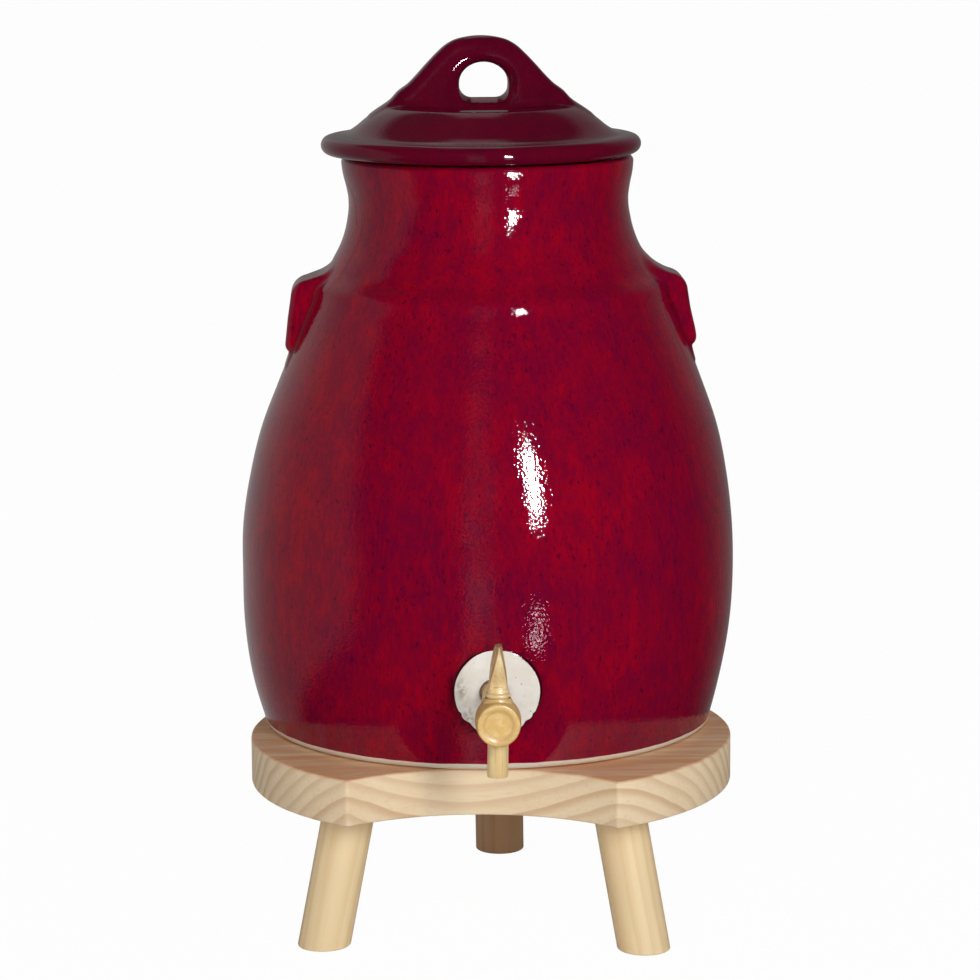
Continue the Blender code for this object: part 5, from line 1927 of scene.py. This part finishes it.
@dataclass
class Studio:
    """The camera, the lamps, the surroundings and the pale floor.

    What glossy surfaces mirror is a painted glow, seen in each direction from the middle of the crock.
    """

    camera_place: Point = (-0.0510, -1.543, 0.4647)
    heading: float = math.radians(1.9)
    pitch: float = math.radians(10.16)
    roll: float = math.radians(0.35)
    lens: float = 3598 / 980 * 36
    middle: Point = (0.0, 0.029, 0.15)
    white: tuple[float, float, float, float] = (1.0, 1.0, 1.0, 1.0)
    glow_tint: tuple[float, float, float, float] = (1.0, 0.98, 0.97, 1.0)
    floor_colour: tuple[float, float, float, float] = (0.80, 0.79, 0.78, 1.0)
    floor_roughness: float = 0.6
    floor_white: float = 0.975
    floor_reach: float = 12.0

    def place_camera(self) -> None:
        """Put the camera where the photograph was taken from."""
        level = math.cos(self.pitch)
        forward = Vector((math.sin(self.heading) * level, math.cos(self.heading) * level, -math.sin(self.pitch)))
        right = Vector((math.cos(self.heading), -math.sin(self.heading), 0.0))
        up = right.cross(forward)
        right_rolled = right * math.cos(self.roll) - up * math.sin(self.roll)
        up_rolled = up * math.cos(self.roll) + right * math.sin(self.roll)
        data = bpy.data.cameras.new("camera")
        data.lens, data.sensor_width = self.lens, 36.0
        data.clip_start, data.clip_end = 0.05, 50.0
        camera = bpy.data.objects.new("camera", data)
        turn = Matrix((right_rolled, up_rolled, -forward)).transposed().to_4x4()
        camera.matrix_world = Matrix.Translation(self.camera_place) @ turn
        bpy.context.scene.collection.objects.link(camera)
        bpy.context.scene.camera = camera

    def reflected_glow(self, net: NodeNet, way: bpy.types.NodeSocket) -> bpy.types.NodeSocket:
        """How bright the studio looks in a glossy surface, in each direction from the crock.

        It is pale at the left and behind up to the lid's height, blotchy straight in front, and dim elsewhere.

        Args:
            net: The tree that the nodes go into.
            way: A direction of length 1.

        Returns:
            The brightness, where 1 is white.
        """
        parts = net.add("ShaderNodeSeparateXYZ", {0: way}).outputs
        turn = net.math("ARCTAN2", parts[0], net.math("MULTIPLY", parts[1], -1.0))
        edge = net.math("ADD", net.span(parts[2], -0.17, 0.33, -1.08, -1.26),
                        net.span(parts[2], 0.33, 0.75, 0.0, -0.6))
        edge = net.math("ADD", edge, net.span(parts[2], -0.52, -0.17, -0.58, 0.0))
        left = net.span(net.math("SUBTRACT", turn, edge), -0.125, 0.125, 1.0, 0.0)
        left = net.math("MULTIPLY", left, net.span(turn, -2.5, -1.8, 0.34, 0.20))
        left = net.math("MINIMUM", left, net.span(turn, -math.pi, -2.9, 0.17, 0.34))
        right = net.span(turn, 1.75, 2.8, 0.0, 0.17)
        low = net.math("MULTIPLY", net.math("ADD", left, right), net.span(parts[2], 0.53, 0.68, 1.0, 0.12))
        aside = net.math("ABSOLUTE", net.math("ADD", turn, 0.12))
        front = net.math("MULTIPLY", net.span(aside, 0.07, 0.16, 1.0, 0.0),
                         net.span(parts[2], 0.50, 0.62, 0.34, 0.0))
        front = net.math("MULTIPLY", front, net.span(net.noise(way, 13.0, 3.0, 0.6), 0.45, 0.57))
        behind = net.math("MULTIPLY", net.span(net.math("ABSOLUTE", parts[0]), 0.06, 0.15, 1.0, 0.0),
                          net.span(parts[1], 0.0, 0.2))
        behind = net.math("MULTIPLY", behind, net.span(parts[2], 0.50, 0.60, 0.0, 0.45))
        behind = net.math("MULTIPLY", behind, net.span(parts[2], 0.86, 0.94, 1.0, 0.0))
        return net.math("ADD", net.math("ADD", net.math("ADD", low, front), behind), 0.012)

    def surround(self) -> None:
        """The world: soft light everywhere, white to look at, and the studio's own glow in reflections."""
        world = bpy.data.worlds.new("surround")
        bpy.context.scene.world = world
        world.use_nodes = True
        net = NodeNet(world.node_tree)
        world.node_tree.nodes.clear()
        way = net.add("ShaderNodeTexCoord").outputs["Generated"]
        height = net.add("ShaderNodeSeparateXYZ", {0: way}).outputs[2]
        ray = net.add("ShaderNodeLightPath").outputs
        seen = net.add("ShaderNodeBackground", {0: self.white, 1: 1.0}).outputs[0]
        shine = net.span(height, 0.0, 0.9, 0.82, 0.15)
        soft = net.add("ShaderNodeBackground", {0: self.white, 1: shine}).outputs[0]
        glow = self.reflected_glow(net, way)
        mirrored = net.add("ShaderNodeBackground", {0: self.glow_tint, 1: glow}).outputs[0]
        made = net.add("ShaderNodeMixShader", {0: ray["Is Glossy Ray"], 1: soft, 2: mirrored}).outputs[0]
        direct = net.math("MAXIMUM", ray["Is Camera Ray"], ray["Is Transmission Ray"])
        made = net.add("ShaderNodeMixShader", {0: direct, 1: made, 2: seen}).outputs[0]
        net.add("ShaderNodeOutputWorld", {0: made})

    def lay_floor(self) -> None:
        """The pale floor that the stand rests on."""
        mesh = bpy.data.meshes.new("pale_floor")
        reach = self.floor_reach
        corners = [(-reach, -reach, 0), (reach, -reach, 0), (reach, reach, 0), (-reach, reach, 0)]
        mesh.from_pydata(corners, [], [(0, 1, 2, 3)])
        floor = new_piece("pale_floor", mesh)
        material = bpy.data.materials.new("pale_floor")
        material.use_nodes = True
        net = NodeNet(material.node_tree)
        shader = material.node_tree.nodes["Principled BSDF"]
        shader.inputs["Base Color"].default_value = self.floor_colour
        shader.inputs["Roughness"].default_value = self.floor_roughness
        ray = net.add("ShaderNodeLightPath").outputs
        white = net.add("ShaderNodeEmission", {0: self.white, 1: 1.0}).outputs[0]
        direct = net.math("MAXIMUM", ray["Is Camera Ray"], ray["Is Transmission Ray"])
        place = net.add("ShaderNodeTexCoord").outputs["Object"]
        way = net.vector_math("NORMALIZE", net.vector_math("SUBTRACT", place, self.middle), (0.0, 0.0, 0.0))
        # In reflections the floor shows the painted studio glow, not its own lit colour.
        glow = self.reflected_glow(net, way)
        pale = net.add("ShaderNodeEmission", {0: self.glow_tint, 1: glow}).outputs[0]
        lit = net.add("ShaderNodeMixShader", {0: ray["Is Glossy Ray"], 1: shader.outputs[0], 2: pale}).outputs[0]
        share = net.math("MULTIPLY", direct, self.floor_white)
        mixed = net.add("ShaderNodeMixShader", {0: share, 1: lit, 2: white}).outputs[0]
        net.tree.links.new(mixed, material.node_tree.nodes["Material Output"].inputs[0])
        mesh.materials.append(material)

    def build(self) -> None:
        """Set up everything round the object."""
        self.place_camera()
        for lamp in LAMPS:
            lamp.hang()
        self.surround()
        self.lay_floor()
        bpy.context.scene.view_settings.view_transform = "Standard"


def write_sizes() -> None:
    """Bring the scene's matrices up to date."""
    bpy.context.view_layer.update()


def main() -> None:
    """Build the stand, the crock, its lid and its tap, and light them."""
    logging.basicConfig(level=logging.INFO, format="%(name)s %(message)s")
    Studio().build()
    lathe = Lathe()
    Stand(lathe).build()
    Crock(lathe).build()
    Lid(lathe).build()
    Tap(lathe).build()
    Key(lathe).build()
    write_sizes()


if __name__ == "__main__":
    main()
